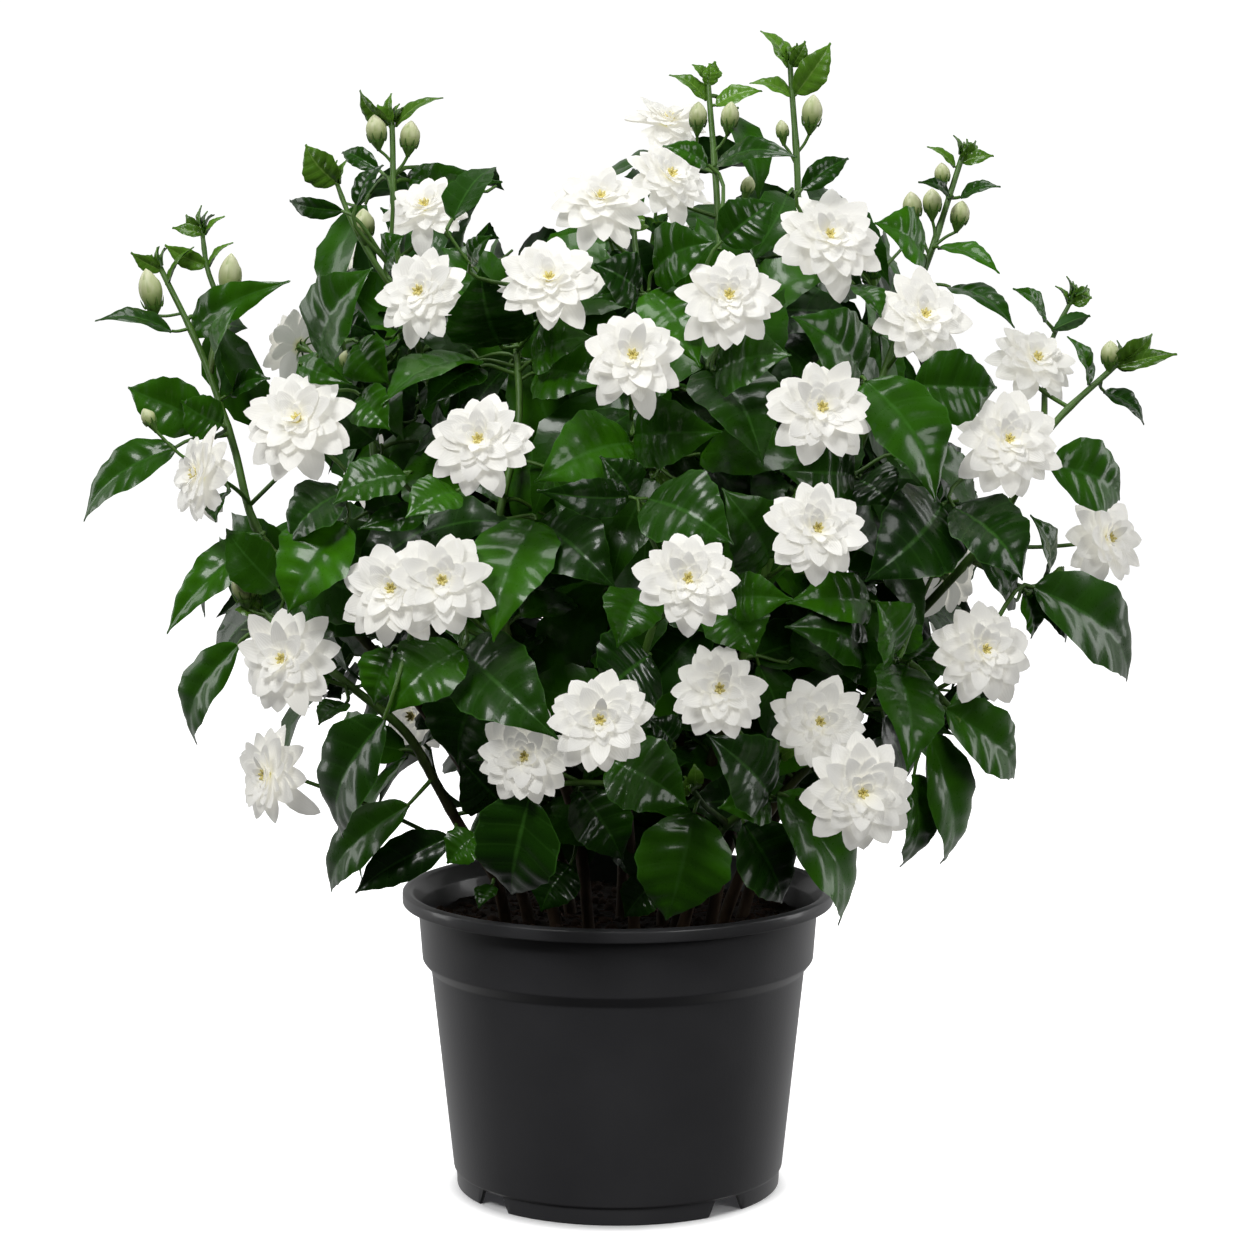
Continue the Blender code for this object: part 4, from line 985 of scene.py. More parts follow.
blooms = bloom_list()
for cane in canes:
    for head in [head for tag in cane.blooms for head in blooms[tag]]:
        path = first_fit(
            stalk_paths(head, cane.stem),
            lambda path: has_corner(cane.solid, stalk_corner(path)),
        )
        cane.stalks.append(path)
        add_wood(cane, path, *STALK_RADII, 14, 7, (0.8, 1.0))
        axis, side, over = head.ways
        seat = np.array(head.seat)
        t = np.linspace(0.0, 1.0, 8)
        cup = (seat - axis * CALYX_LENGTH * (1.0 - t)[:, None])[None]
        radii = 1.0 + (CALYX_RADIUS - 1.0) * np.sin(t * math.pi / 2) ** 1.3
        cane.skin.tube(cup, radii, 12, youth=1.0, along=t[:, None])
        out = spokes(side, over, head.spin + full_turn(SEPALS)[:, None, None])
        t = np.linspace(0.0, 1.0, 6)[:, None]
        sepal = seat - axis * 1.6 + out * (2.2 + 5.5 * t) + axis * (0.4 * t - 3.5 * t**2)
        cane.skin.tube(sepal, 0.55 * (1.0 - t[:, 0]) ** 0.7 + 0.08, 5, youth=1.0)


# The buds: closed, egg-shaped and pointed, cream with a green foot, each on a thin
# stalk and in a ring of small sepals. By the cane's number, each row: u and v of the
# bud's middle, radius, length, and how far its stalk reaches down to the wood.
BUD_STALK_RADIUS = 0.85
BUD_SHIFTS = (0.0, -5.0, 5.0, -10.0, 10.0, -16.0, 16.0, -24.0, 24.0, -34.0, 34.0)
BUDS = {
    1: (
        (-234, 447, 5.6, 20, 12), (-194, 454, 5.6, 21, 14), (-235, 383, 3.4, 9, 14),
        (-231, 399, 2.6, 7, 16),
    ),
    2: (
        (-114, 364, 4.4, 17, 12), (-136, 413, 3.4, 11, 12),
    ),
    3: (
        (-187, 299, 6.2, 17, 10),
    ),
    4: (
        (-121, 527, 5.0, 14, 12), (-104, 524, 4.8, 14, 12), (-137, 477, 5.2, 15, 12),
        (-127, 480, 5.0, 14, 12), (-128, 442, 5.0, 14, 12), (-76, 443, 3.4, 10, 10),
    ),
    6: (
        (15, 362, 3.2, 11, 8), (-1, 315, 3.8, 18, 12),
    ),
    7: (
        (40, 534, 4.4, 13, 12), (56, 534, 4.4, 13, 12), (65, 499, 3.4, 9, 14),
    ),
    8: (
        (97, 536, 5.0, 16, 14), (82, 527, 3.2, 9, 12),
    ),
    9: (
        (147, 489, 4.6, 13, 16), (157, 491, 4.6, 12, 12), (171, 485, 4.6, 12, 14),
        (162, 505, 3.8, 10, 8),
    ),
    10: (
        (246, 415, 4.6, 12, 8),
    ),
}


def wood_under(wood, u, v):
    """The point of the wood that the front view shows nearest to u, v."""
    return min(wood, key=lambda point: math.dist(seen(point), (u, v)))


def bud_places(row, wood):
    """Ways to stand a bud on its stalk: the stalk's root, the bud's foot and tip, its radius."""
    u, v, radius, length, reach = row
    root = wood_under(wood, u, v - length / 2 - reach)
    for shift in BUD_SHIFTS:
        middle = spot(u, v, root.y + shift)
        lean = Vector((middle.x - root.x, middle.y - root.y, 0.0)) / (2.5 * (length + reach))
        axis = (UP + lean).normalized()
        yield root, middle - axis * length / 2, middle + axis * length / 2, radius


for cane in canes:
    wood = cane.wood()
    for row in BUDS.get(cane.number, ()):
        root, foot, tip, radius = first_fit(
            bud_places(row, wood), lambda place: has_corner(cane.solid, place[2])
        )
        axis = (tip - foot).normalized()
        neck = foot - axis * 3.0
        middle = neck.lerp(root, 0.45) + (neck - root).orthogonal() * 0.05
        add_wood(cane, [root, middle, neck], BUD_STALK_RADIUS, BUD_STALK_RADIUS, 8, 6, (0.8, 1.0))
        side = axis.orthogonal().normalized()
        over = np.array(axis.cross(side))
        axis, side, foot, tip = (np.array(way) for way in (axis, side, foot, tip))
        # the body: three petals rolled round each other, so its outline steps at each seam
        t = np.linspace(0.015, 0.985, 13)[:, None]
        turn = full_turn(18)
        roll = (turn * 3 / math.tau + 0.45 * t) % 1.0
        body = radius * np.sin(math.pi * t**0.9) ** (0.52 + 0.22 * t) * (0.95 + 0.10 * roll)
        out = spokes(side, over, turn[:, None])
        rings = (foot + (tip - foot) * t)[:, None] + out * body[..., None]
        cane.skin.add(rings[None], foot[None], tip[None], 2, along=t, across=roll)
        # the calyx: a green cup with seven short teeth that hug the bud
        t = np.linspace(0.0, 1.0, 7)
        cup = (foot + axis * (-3.6 + 5.4 * t)[:, None])[None]
        radii = 0.9 + (0.70 * radius - 0.9) * np.sin(t * math.pi / 2) ** 1.5
        cane.skin.tube(cup, radii, 12, youth=1.0)
        out = spokes(side, over, full_turn(SEPALS)[:, None, None])
        t = np.linspace(0.0, 1.0, 5)[:, None]
        tooth = foot + axis * (0.8 + radius * 0.9 * t) + out * radius * (0.70 + 0.34 * t**0.6)
        cane.skin.tube(tooth, 0.5 * (1.0 - t[:, 0]) ** 0.7 + 0.08, 5, youth=1.0)


# The leaves: broad and glossy, quilted between seven pairs of side veins, with a
# sunken midrib and waved edges, each on a short petiole. A row: u, v of the blade's
# foot and tip, width, how far in front of the crown's skin it lies, and its roll. Each
# leaf grows from the wood that passes nearest. Young leaves are given by the cane's
# number, without the last two values.
CROWN_REACH = Vector((250.0, 205.0, 235.0))
LEAF_STEPS = (0.10, 0.36, 0.62, 0.84)
DEEP_LEAF_STEPS = (0.12, 0.45, 0.80)
SMALL_LEAF_STEPS = (0.25, 0.70)
LEAF_FOLD = 0.16
LEAF_WAVE = 1.3
PETIOLE = 0.85
TWIG = 20.0
VEINS = 7
BLADE_SEED = 100
LEAVES = (
    (-221, 368, -270, 332, 26, 0, -15), (-206, 381, -246, 398, 28, 0, 0),
    (-194, 397, -194, 438, 34, 0, 0), (-213, 426, -167, 451, 21, 0, 30),
    (-137, 346, -166, 321, 34, -20, 10), (-178, 324, -228, 276, 24, 0, -20),
    (-136, 330, -167, 286, 42, -8, 0), (-198, 379, -219, 391, 22, -25, 0),
    (-106, 354, -143, 341, 26, -25, 10), (-150, 414, -126, 458, 40, 5, 0),
    (-129, 394, -115, 377, 22, -30, 0), (-130, 420, -115, 400, 24, -40, 0),
    (-190, 269, -215, 218, 25, 0, -20), (-117, 232, -142, 171, 37, 15, 0),
    (-105, 189, -148, 145, 26, 0, -10), (-84, 173, -133, 145, 22, 0, -20),
    (-71, 174, -86, 160, 20, -10, 0), (-69, 246, -81, 209, 42, -50, 0),
    (-59, 191, -79, 212, 30, -55, 0), (-106, 502, -60, 501, 17, 0, 30),
    (-116, 460, -108, 474, 20, -10, 0), (-59, 419, -69, 456, 40, -35, 0),
    (-70, 411, -119, 393, 32, -25, 20), (-41, 331, -63, 273, 40, -30, 0),
    (-40, 331, -2, 299, 36, -14, 0), (-78, 267, -32, 224, 40, 8, 0),
    (-78, 267, -115, 236, 34, -8, 0), (-113, 267, -123, 239, 24, -25, 0),
    (-81, 346, -106, 334, 24, -35, 0), (-43, 411, -14, 424, 26, -35, 0),
    (-41, 405, -8, 400, 34, -40, 0), (-69, 408, -97, 389, 24, -35, 0),
    (8, 374, 50, 376, 32, -18, 20), (15, 342, 57, 321, 38, -14, 0),
    (7, 370, -40, 352, 36, -18, -10), (5, 343, -39, 346, 18, -22, -20),
    (8, 343, -8, 363, 22, -45, 0), (11, 446, -11, 460, 26, -30, 0),
    (16, 446, 41, 410, 28, -35, 0), (12, 296, 0, 269, 27, -14, 0),
    (52, 471, 78, 491, 24, -10, 0), (18, 456, 47, 471, 30, -10, 0),
    (45, 407, 73, 362, 40, -20, 0), (49, 406, 85, 415, 34, -30, 0),
    (56, 292, 86, 292, 22, -12, 20), (52, 291, 69, 264, 32, -16, 0),
    (122, 404, 89, 434, 36, -22, 0), (76, 311, 54, 346, 36, -45, 0),
    (124, 401, 161, 342, 42, -8, 0), (148, 399, 191, 398, 34, -20, 15),
    (166, 448, 199, 430, 20, -10, 20), (153, 464, 130, 481, 32, -10, 0),
    (216, 359, 254, 342, 34, 0, 10), (236, 399, 226, 424, 18, 0, 0),
    (168, 338, 204, 303, 44, 0, 0), (162, 339, 126, 302, 44, 5, 0),
    (213, 300, 209, 334, 22, -15, 0), (208, 298, 260, 251, 40, 0, 10),
    (203, 296, 208, 272, 22, -20, 0), (198, 292, 176, 322, 32, -35, 0),
    (138, 260, 147, 207, 38, 0, 0), (148, 204, 144, 156, 28, -5, 0),
    (156, 224, 166, 157, 32, 0, 15), (164, 237, 202, 202, 32, 0, 10),
    (138, 264, 131, 291, 36, -25, 0), (146, 262, 160, 275, 20, -25, 0),
    (126, 291, 86, 291, 26, -40, 0), (125, 266, 86, 279, 30, -45, 0),
    (-44, 194, -55, 142, 42, 6, 0), (-4, 211, 35, 189, 36, -10, 0),
    (28, 220, 16, 232, 20, -45, 0), (-24, 159, -39, 136, 26, -45, 0),
    (-19, 196, 3, 161, 30, -40, 0), (16, 264, -8, 246, 40, -50, 0),
    (118, 354, 83, 356, 34, -40, 0), (120, 352, 138, 339, 30, -30, 0),
    (38, 185, 24, 130, 44, 8, 0), (63, 180, 84, 139, 34, -5, 0),
    (80, 194, 116, 127, 38, 6, 0), (76, 191, 51, 188, 22, -8, 0),
    (76, 194, 47, 224, 36, -20, 0), (18, 151, 3, 133, 20, -40, 0),
)
SMALL_LEAVES = (
    (-223, 426, -261, 433, 15, 0, -35), (-195, 346, -202, 331, 16, 0, 0),
    (-193, 395, -175, 403, 14, -20, 0), (-159, 409, -134, 400, 12, -25, 0),
    (-138, 432, -122, 425, 14, -20, 0), (-136, 240, -150, 230, 16, -15, 0),
    (-120, 507, -139, 516, 10, 0, 0), (-131, 489, -118, 510, 12, 0, 0),
    (-138, 486, -166, 491, 10, 0, -30), (-74, 460, -64, 474, 12, -10, 0),
    (-97, 334, -130, 328, 15, -35, 0), (9, 444, -12, 443, 14, -30, 0),
    (45, 509, 23, 519, 12, 0, 0), (49, 509, 88, 515, 16, 0, 20),
    (92, 497, 116, 513, 12, 0, 0), (118, 449, 132, 434, 16, -25, 0),
    (160, 468, 191, 457, 15, 0, 25), (171, 493, 191, 499, 10, 0, 0),
    (166, 494, 151, 501, 8, 0, 0), (140, 363, 156, 349, 16, -30, 0),
    (214, 431, 199, 448, 14, 0, 0), (218, 427, 237, 434, 8, 0, 0),
    (243, 396, 264, 380, 16, 0, 15), (208, 295, 226, 270, 15, -15, 20),
    (160, 233, 172, 226, 14, -20, 0), (-63, 149, -70, 138, 12, -45, 0),
)
YOUNG = {
    1: (
        (-229, 457, -244, 465, 8), (-226, 449, -213, 469, 8), (-229, 458, -231, 468, 8),
        (-208, 476, -223, 478, 7), (-207, 476, -197, 484, 7), (-208, 477, -209, 489, 9),
        (-206, 459, -227, 469, 10), (-205, 459, -193, 471, 8),
    ),
    4: (
        (-115, 530, -130, 546, 12), (-111, 530, -88, 544, 11), (-113, 530, -114, 545, 9),
        (-141, 501, -157, 519, 20), (-140, 501, -136, 512, 8),
    ),
    6: (
        (16, 357, 27, 347, 9), (24, 364, 31, 374, 9),
    ),
    7: (
        (44, 541, 26, 555, 12), (50, 539, 72, 547, 12), (45, 549, 46, 560, 9),
    ),
    8: (
        (85, 559, 72, 577, 17), (90, 545, 107, 570, 16), (87, 544, 66, 551, 14),
        (87, 559, 94, 571, 9),
    ),
    9: (
        (168, 508, 155, 519, 9), (173, 511, 188, 514, 8), (172, 512, 175, 522, 8),
    ),
    10: (
        (226, 441, 219, 449, 8), (228, 441, 237, 443, 7), (227, 442, 228, 451, 8),
        (249, 409, 268, 424, 18), (250, 409, 280, 415, 9),
    ),
}
FILL_SPACING = 24.0
FILL_LENGTH = (50.0, 66.0)
FILL_WIDTH = (0.48, 0.58)
FILL_TURNS = (0, 25, -25)
FILL_PETIOLE = 8.0
FILL_DROOP = 0.28
LOOK_UP = 0.62
LOOK_FRONT = -0.55
LOOK_OUT = 300.0
FRONT_HALF = 60
SKIN_SHARE = 0.86
DEPTH_STEP = 11.0
LEAN_SHARE = 0.75
TIP_SHIFTS = (0.0, -0.25, 0.25, -0.5, 0.5, 0.8)
LEAF_TURNS = (0.0, 18.0, -18.0, 36.0, -36.0)
YOUNG_SHIFTS = (0.0, -0.3, 0.3, -0.6, 0.6, -1.0, 1.0)
YOUNG_TURNS = (0.0, 30.0, -30.0, 60.0)


def skin_depth(u, v):
    """The depth of the crown's front at u, v of the front view, on an ellipsoid."""
    across = (u - CROWN_CENTRE.x) / CROWN_REACH.x
    up = (v - CROWN_CENTRE.z) / CROWN_REACH.z
    return -CROWN_REACH.y * math.sqrt(max(0.03, 1.0 - across**2 - up**2))


def blade_share(t):
    """A leaf's half width at t along its midrib, as a share of the widest."""
    return max(math.sin(math.pi * t**0.75), 0.0) ** 0.8


class Leaf:
    """One leaf: petiole from its root in the stem, blade from foot to tip. Its upper
    side looks up, outwards and, in the front of the crown, towards the viewer.
    """

    def __init__(self, root, foot, tip, width, roll=0.0, sag=0.10, steps=LEAF_STEPS):
        self.root, self.foot, self.tip = root, foot, tip
        self.width, self.sag, self.steps = width, sag, steps
        self.youth, self.plain = 0.0, False
        self.chord = (tip - foot).normalized()
        outward = Vector((foot.x + tip.x, foot.y + tip.y, 0.0)) / LOOK_OUT
        look = Vector((0.0, LOOK_FRONT if foot.y < FRONT_HALF else 0.0, LOOK_UP)) + outward
        up = look - self.chord * look.dot(self.chord)
        if up.length < 0.15:
            up = self.chord.orthogonal()
        up = Matrix.Rotation(math.radians(roll), 3, self.chord) @ up.normalized()
        self.up = up.normalized()

    def corner(self):
        """The corner of the solid blade's first section, on its side."""
        length = (self.tip - self.foot).length
        t = self.steps[0]
        rise = self.sag * length * math.sin(math.pi * t)
        slope = self.sag * math.pi * math.cos(math.pi * t)
        side = self.up.cross(self.chord)
        up = (self.chord + self.up * slope).normalized().cross(side)
        half = self.width / 2 * blade_share(t)
        lift = LEAF_FOLD * half + LEAF_WAVE * min(1.0, half / 8)
        return self.foot + self.chord * length * t + self.up * rise + side * half + up * lift


def leaf_places(row, wood):
    """Ways to lay a leaf that all show it at its place in the front view."""
    u0, v0, u1, v1, width, lift, roll = row
    shown = math.dist((u0, v0), (u1, v1))
    skin = skin_depth(u0, v0) * SKIN_SHARE - lift
    tries = []
    for step in range(-4, 10):
        foot = spot(u0, v0, skin + DEPTH_STEP * step)
        root = nearest(wood, foot)
        far = max(0.0, (root - foot).length - 10.0)
        outer = skin_depth(u1, v1) - lift - foot.y
        lean = max(-LEAN_SHARE * shown, min(LEAN_SHARE * shown, outer))
        for tip_shift in TIP_SHIFTS:
            tip = spot(u1, v1, foot.y + lean + tip_shift * shown)
            for turn in LEAF_TURNS:
                cost = abs(step) + 5.0 * abs(tip_shift) + abs(turn) / 22.0 + far / 4.0
                tries.append((cost, root, foot, tip, roll + turn))
    tries.sort(key=lambda row: row[0])
    steps = LEAF_STEPS if width >= 34 and lift > -30 else DEEP_LEAF_STEPS
    if width < 17:
        steps = SMALL_LEAF_STEPS
    for _, root, foot, tip, turn in tries:
        yield Leaf(root, foot, tip, width, turn, steps=steps)


def young_places(row, wood):
    """Ways to lay a young leaf of a shoot's tip."""
    u0, v0, u1, v1, width = row
    root = wood_under(wood, u0, v0)
    shown = math.dist((u0, v0), (u1, v1))
    foot = spot(u0, v0, root.y) * 0.7 + root * 0.3
    for shift in YOUNG_SHIFTS:
        for turn in YOUNG_TURNS:
            tip = spot(u1, v1, root.y + shift * shown)
            yield Leaf(root, foot, tip, width, turn, 0.08, SMALL_LEAF_STEPS)


def fill_places(cane, draw):
    """Leaves in crossed pairs at even steps along a cane's wood, each as a list of the
    ways to roll it.
    """
    quarter = 0
    for path in [cane.stem[3:], *cane.sides, *[stalk[:3] for stalk in cane.stalks]]:
        for a, b in zip(path, path[1:]):
            along = (b - a).normalized()
            side = along.orthogonal().normalized()
            count = max(1, round((b - a).length / FILL_SPACING))
            for i in range(count):
                root = a.lerp(b, (i + 0.5) / count)
                quarter += 1
                for half in (0, 2):
                    turn = math.radians(90 * (quarter + half) + draw.uniform(-25, 25))
                    away = Matrix.Rotation(turn, 3, along) @ side
                    lift = Vector((0.0, 0.0, draw.uniform(-0.1, 0.35)))
                    way = (away + along * 0.35 + lift).normalized()
                    length = draw.uniform(*FILL_LENGTH)
                    width = length * draw.uniform(*FILL_WIDTH)
                    foot = root + way * FILL_PETIOLE
                    tip = foot + way * length - Vector((0.0, 0.0, FILL_DROOP * length))
                    yield [
                        Leaf(root, foot, tip, width, roll, steps=DEEP_LEAF_STEPS)
                        for roll in FILL_TURNS
                    ]


def laid(leaves, cane):
    """Adds the first leaf whose tip and side are corners of the cane's solid."""
    for leaf in leaves:
        if has_corner(cane.solid, leaf.tip) and has_corner(cane.solid, leaf.corner()):
            cane.leaves.append(leaf)
            return leaf
    return None


def leaf_aim(row):
    """Where a leaf's foot lies if its wood allows it: just under the crown's skin."""
    u, v, lift = row[0], row[1], row[5]
    return spot(u, v, skin_depth(u, v) * SKIN_SHARE - lift)


for cane in canes:
    for row in YOUNG.get(cane.number, ()):
        leaf = laid(young_places(row, cane.wood()), cane)
        if not leaf:
            leaf = next(young_places(row, cane.wood()))
            cane.leaves.append(leaf)
        leaf.youth = 1.0
woods = [(cane, cane.wood()) for cane in canes]
for row in LEAVES:
    aim = leaf_aim(row)
    woods.sort(key=lambda pair: (nearest(pair[1], aim) - aim).length)
    for cane, wood in woods[:2]:
        leaf = laid(leaf_places(row, wood), cane)
        if leaf:
            if (leaf.foot - leaf.root).length > TWIG:
                wood += even_steps([leaf.root, leaf.foot])
            break
for row in SMALL_LEAVES:
    aim = leaf_aim(row)
    cane, wood = min(woods, key=lambda pair: (nearest(pair[1], aim) - aim).length)
    cane.leaves.append(next(leaf_places(row, wood)))
draw = random.Random(SEED)
for cane in canes:
    for turned in fill_places(cane, draw):
        laid(turned, cane)


# the tip of each shoot: a bunch of five leaves that are still unfolding
GOLDEN = math.pi * (3.0 - math.sqrt(5.0))
for cane in canes:
    for path in [cane.stem, *cane.sides]:
        along = (path[-1] - path[-2]).normalized()
        side = along.orthogonal().normalized()
        for k in range(5):
            way = Matrix.Rotation(GOLDEN * k, 3, along) @ side
            way = (way * (0.9 - 0.15 * k) + along).normalized()
            length = 13.0 - 1.4 * k
            foot, tip = path[-1] + way * 1.5, path[-1] + way * length
            leaf = Leaf(path[-1], foot, tip, length * 0.62)
            leaf.youth, leaf.plain = 1.0, True
            cane.leaves.append(leaf)


# inner shoots: thin side twigs with leaves in pairs, which fill the inside and the
# back of the crown
SHOOTS = 520
SHOOT_REACH = (14.0, 130.0)
SHOOT_DEPTHS = (0.90, 0.62, 0.78, 0.50)
HIDING_ROOM = (12.0, 75.0, 0.72)
HIDDEN_DEPTH = 0.66
HIDDEN_SHARE = 0.98
HIDDEN_LOW = 154.0
BLOOM_ROOM = 23.0
LEAF_ROOM = 13.0
ROOM_LEFT = 8.0
TWIG_ROOM = 21.0
LOW_LEAVES_TOP = 320.0
TWIG_RADII = (1.1, 0.7)


def crown_share(point):
    """How far out a point lies in the crown: 0 at its middle and 1 on its skin."""
    away = point - CROWN_CENTRE
    return math.sqrt(sum((away[i] / CROWN_REACH[i]) ** 2 for i in range(3)))


every_head = [head for heads in blooms.values() for head in heads]
front_marks = [seen(head.centre) for head in every_head]
for cane in canes:
    for leaf in cane.leaves:
        front_marks += [seen(leaf.foot.lerp(leaf.tip, share)) for share in (0.15, 0.4, 0.65, 0.9)]
front_marks = np.array(front_marks)


def clear_of_view(point):
    """Whether a point lies behind the crown's front: near a bloom or leaf of it in the
    view, the nearer the further out, and behind, inside and above its bounds.
    """
    u, v = seen(point)
    share = math.hypot((u - CROWN_CENTRE.x) / CROWN_REACH.x, (v - CROWN_CENTRE.z) / CROWN_REACH.z)
    near, more, inside = HIDING_ROOM
    if np.hypot(*(front_marks - (u, v)).T).min() > near + more * max(0.0, inside - share):
        return False
    deep = point.y > HIDDEN_DEPTH * skin_depth(u, v)
    return deep and crown_share(point) < HIDDEN_SHARE and point.z > HIDDEN_LOW


taken = [np.array(head.centre) for head in every_head]
taken_reach = [BLOOM_ROOM] * len(taken)
for cane in canes:
    for leaf in cane.leaves:
        taken.append(np.array((leaf.foot + leaf.tip) / 2))
        taken_reach.append(LEAF_ROOM)


def is_hidden(leaf):
    """Whether a leaf's whole outline lies behind the crown's front."""
    half = (leaf.tip - leaf.foot).cross(leaf.up).normalized() * leaf.width / 2
    middle = leaf.foot.lerp(leaf.tip, 0.45)
    outline = (leaf.foot, leaf.tip, middle, middle + half, middle - half)
    return all(clear_of_view(point) for point in outline)


def room_for(leaf):
    """Takes the room for a leaf, unless a bloom's or another leaf's middle is too near."""
    middle = np.array((leaf.foot + leaf.tip) / 2)
    away = np.linalg.norm(np.array(taken) - middle, axis=1)
    if (away < np.array(taken_reach) + ROOM_LEFT).any():
        return False
    taken.append(middle)
    taken_reach.append(LEAF_ROOM)
    return True


def meets_bloom(path):
    """Whether a twig's points pass through the petals of a bloom."""
    return any((point - head.centre).length < TWIG_ROOM for point in path for head in every_head)


def inner_leaf(root, way, petiole, lengths, droop):
    """A list of one plain leaf that grows this way from root, or of none if it would
    show in front or has no room. Droop is how far it sinks, as a share of its length.
    """
    length = draw.uniform(*lengths)
    foot = root + way * petiole
    tip = foot + way * length - Vector((0.0, 0.0, droop * length))
    leaf = Leaf(root, foot, tip, length * draw.uniform(0.50, 0.60), draw.uniform(-20, 20))
    leaf.plain = True
    return [leaf] if is_hidden(leaf) and room_for(leaf) else []


# leaves in pairs low on the canes, above the soil
for number, cane in enumerate(canes):
    for k, root in enumerate(even_steps(cane.stem[2:])[4::5]):
        if root.z > LOW_LEAVES_TOP:
            break
        first = GOLDEN * (7 * number + k)
        for turn in (first, first + math.pi):
            way = Vector((math.cos(turn), math.sin(turn), 0.5)).normalized()
            cane.leaves += inner_leaf(root, way, 8.0, (38.0, 58.0), 0.35)

for i in range(SHOOTS):
    high = 1.0 - 2.0 * (i + 0.5) / SHOOTS
    flat = math.sqrt(1.0 - high**2)
    outward = Vector((flat * math.cos(GOLDEN * i), flat * math.sin(GOLDEN * i), high))
    depth = SHOOT_DEPTHS[i % 4]
    goal = CROWN_CENTRE + Vector([outward[k] * CROWN_REACH[k] * depth for k in range(3)])
    if not clear_of_view(goal):
        continue
    ranked = []
    for cane in canes:
        below = [p for p in even_steps(cane.stem[2:]) if p.z < goal.z + 10.0]
        if below:
            root = nearest(below, goal)
            ranked.append(((root - goal).length, cane, root))
    if not ranked:
        continue
    far, cane, root = min(ranked, key=lambda row: row[0])
    if not SHOOT_REACH[0] < far < SHOOT_REACH[1]:
        continue
    toward = (goal - root).normalized()
    arrive = (toward + outward * 0.5 + UP * 0.25).normalized()
    leave = (toward + UP * 0.8).normalized()
    path = reach_over(root, leave, goal, arrive, [k / 9 for k in range(10)])
    if not all(clear_of_view(point) for point in path[3:]):
        continue
    leaves = []
    for k in range(3, 10, 2):
        along = (path[k] - path[k - 1]).normalized()
        side = along.orthogonal().normalized()
        ways = [along] if k == 9 else []
        for half in (0.0, math.pi):
            turn = half + (k // 2) * math.pi / 2 + draw.uniform(-0.5, 0.5)
            ways.append((Matrix.Rotation(turn, 3, along) @ side + along * 0.5).normalized())
        for way in ways:
            leaves += inner_leaf(path[k], way, 6.0, (40.0, 62.0), 0.22)
    if leaves and not meets_bloom(path):
        cane.twigs.append(path)
        cane.leaves += leaves


def vectors(leaves, key):
    """This vector of each leaf, in rows."""
    return np.array([tuple(getattr(leaf, key)) for leaf in leaves])


def values(leaves, key):
    """This value of each leaf, shaped to meet the rows and columns of its blade."""
    return np.array([getattr(leaf, key) for leaf in leaves])[:, None, None]


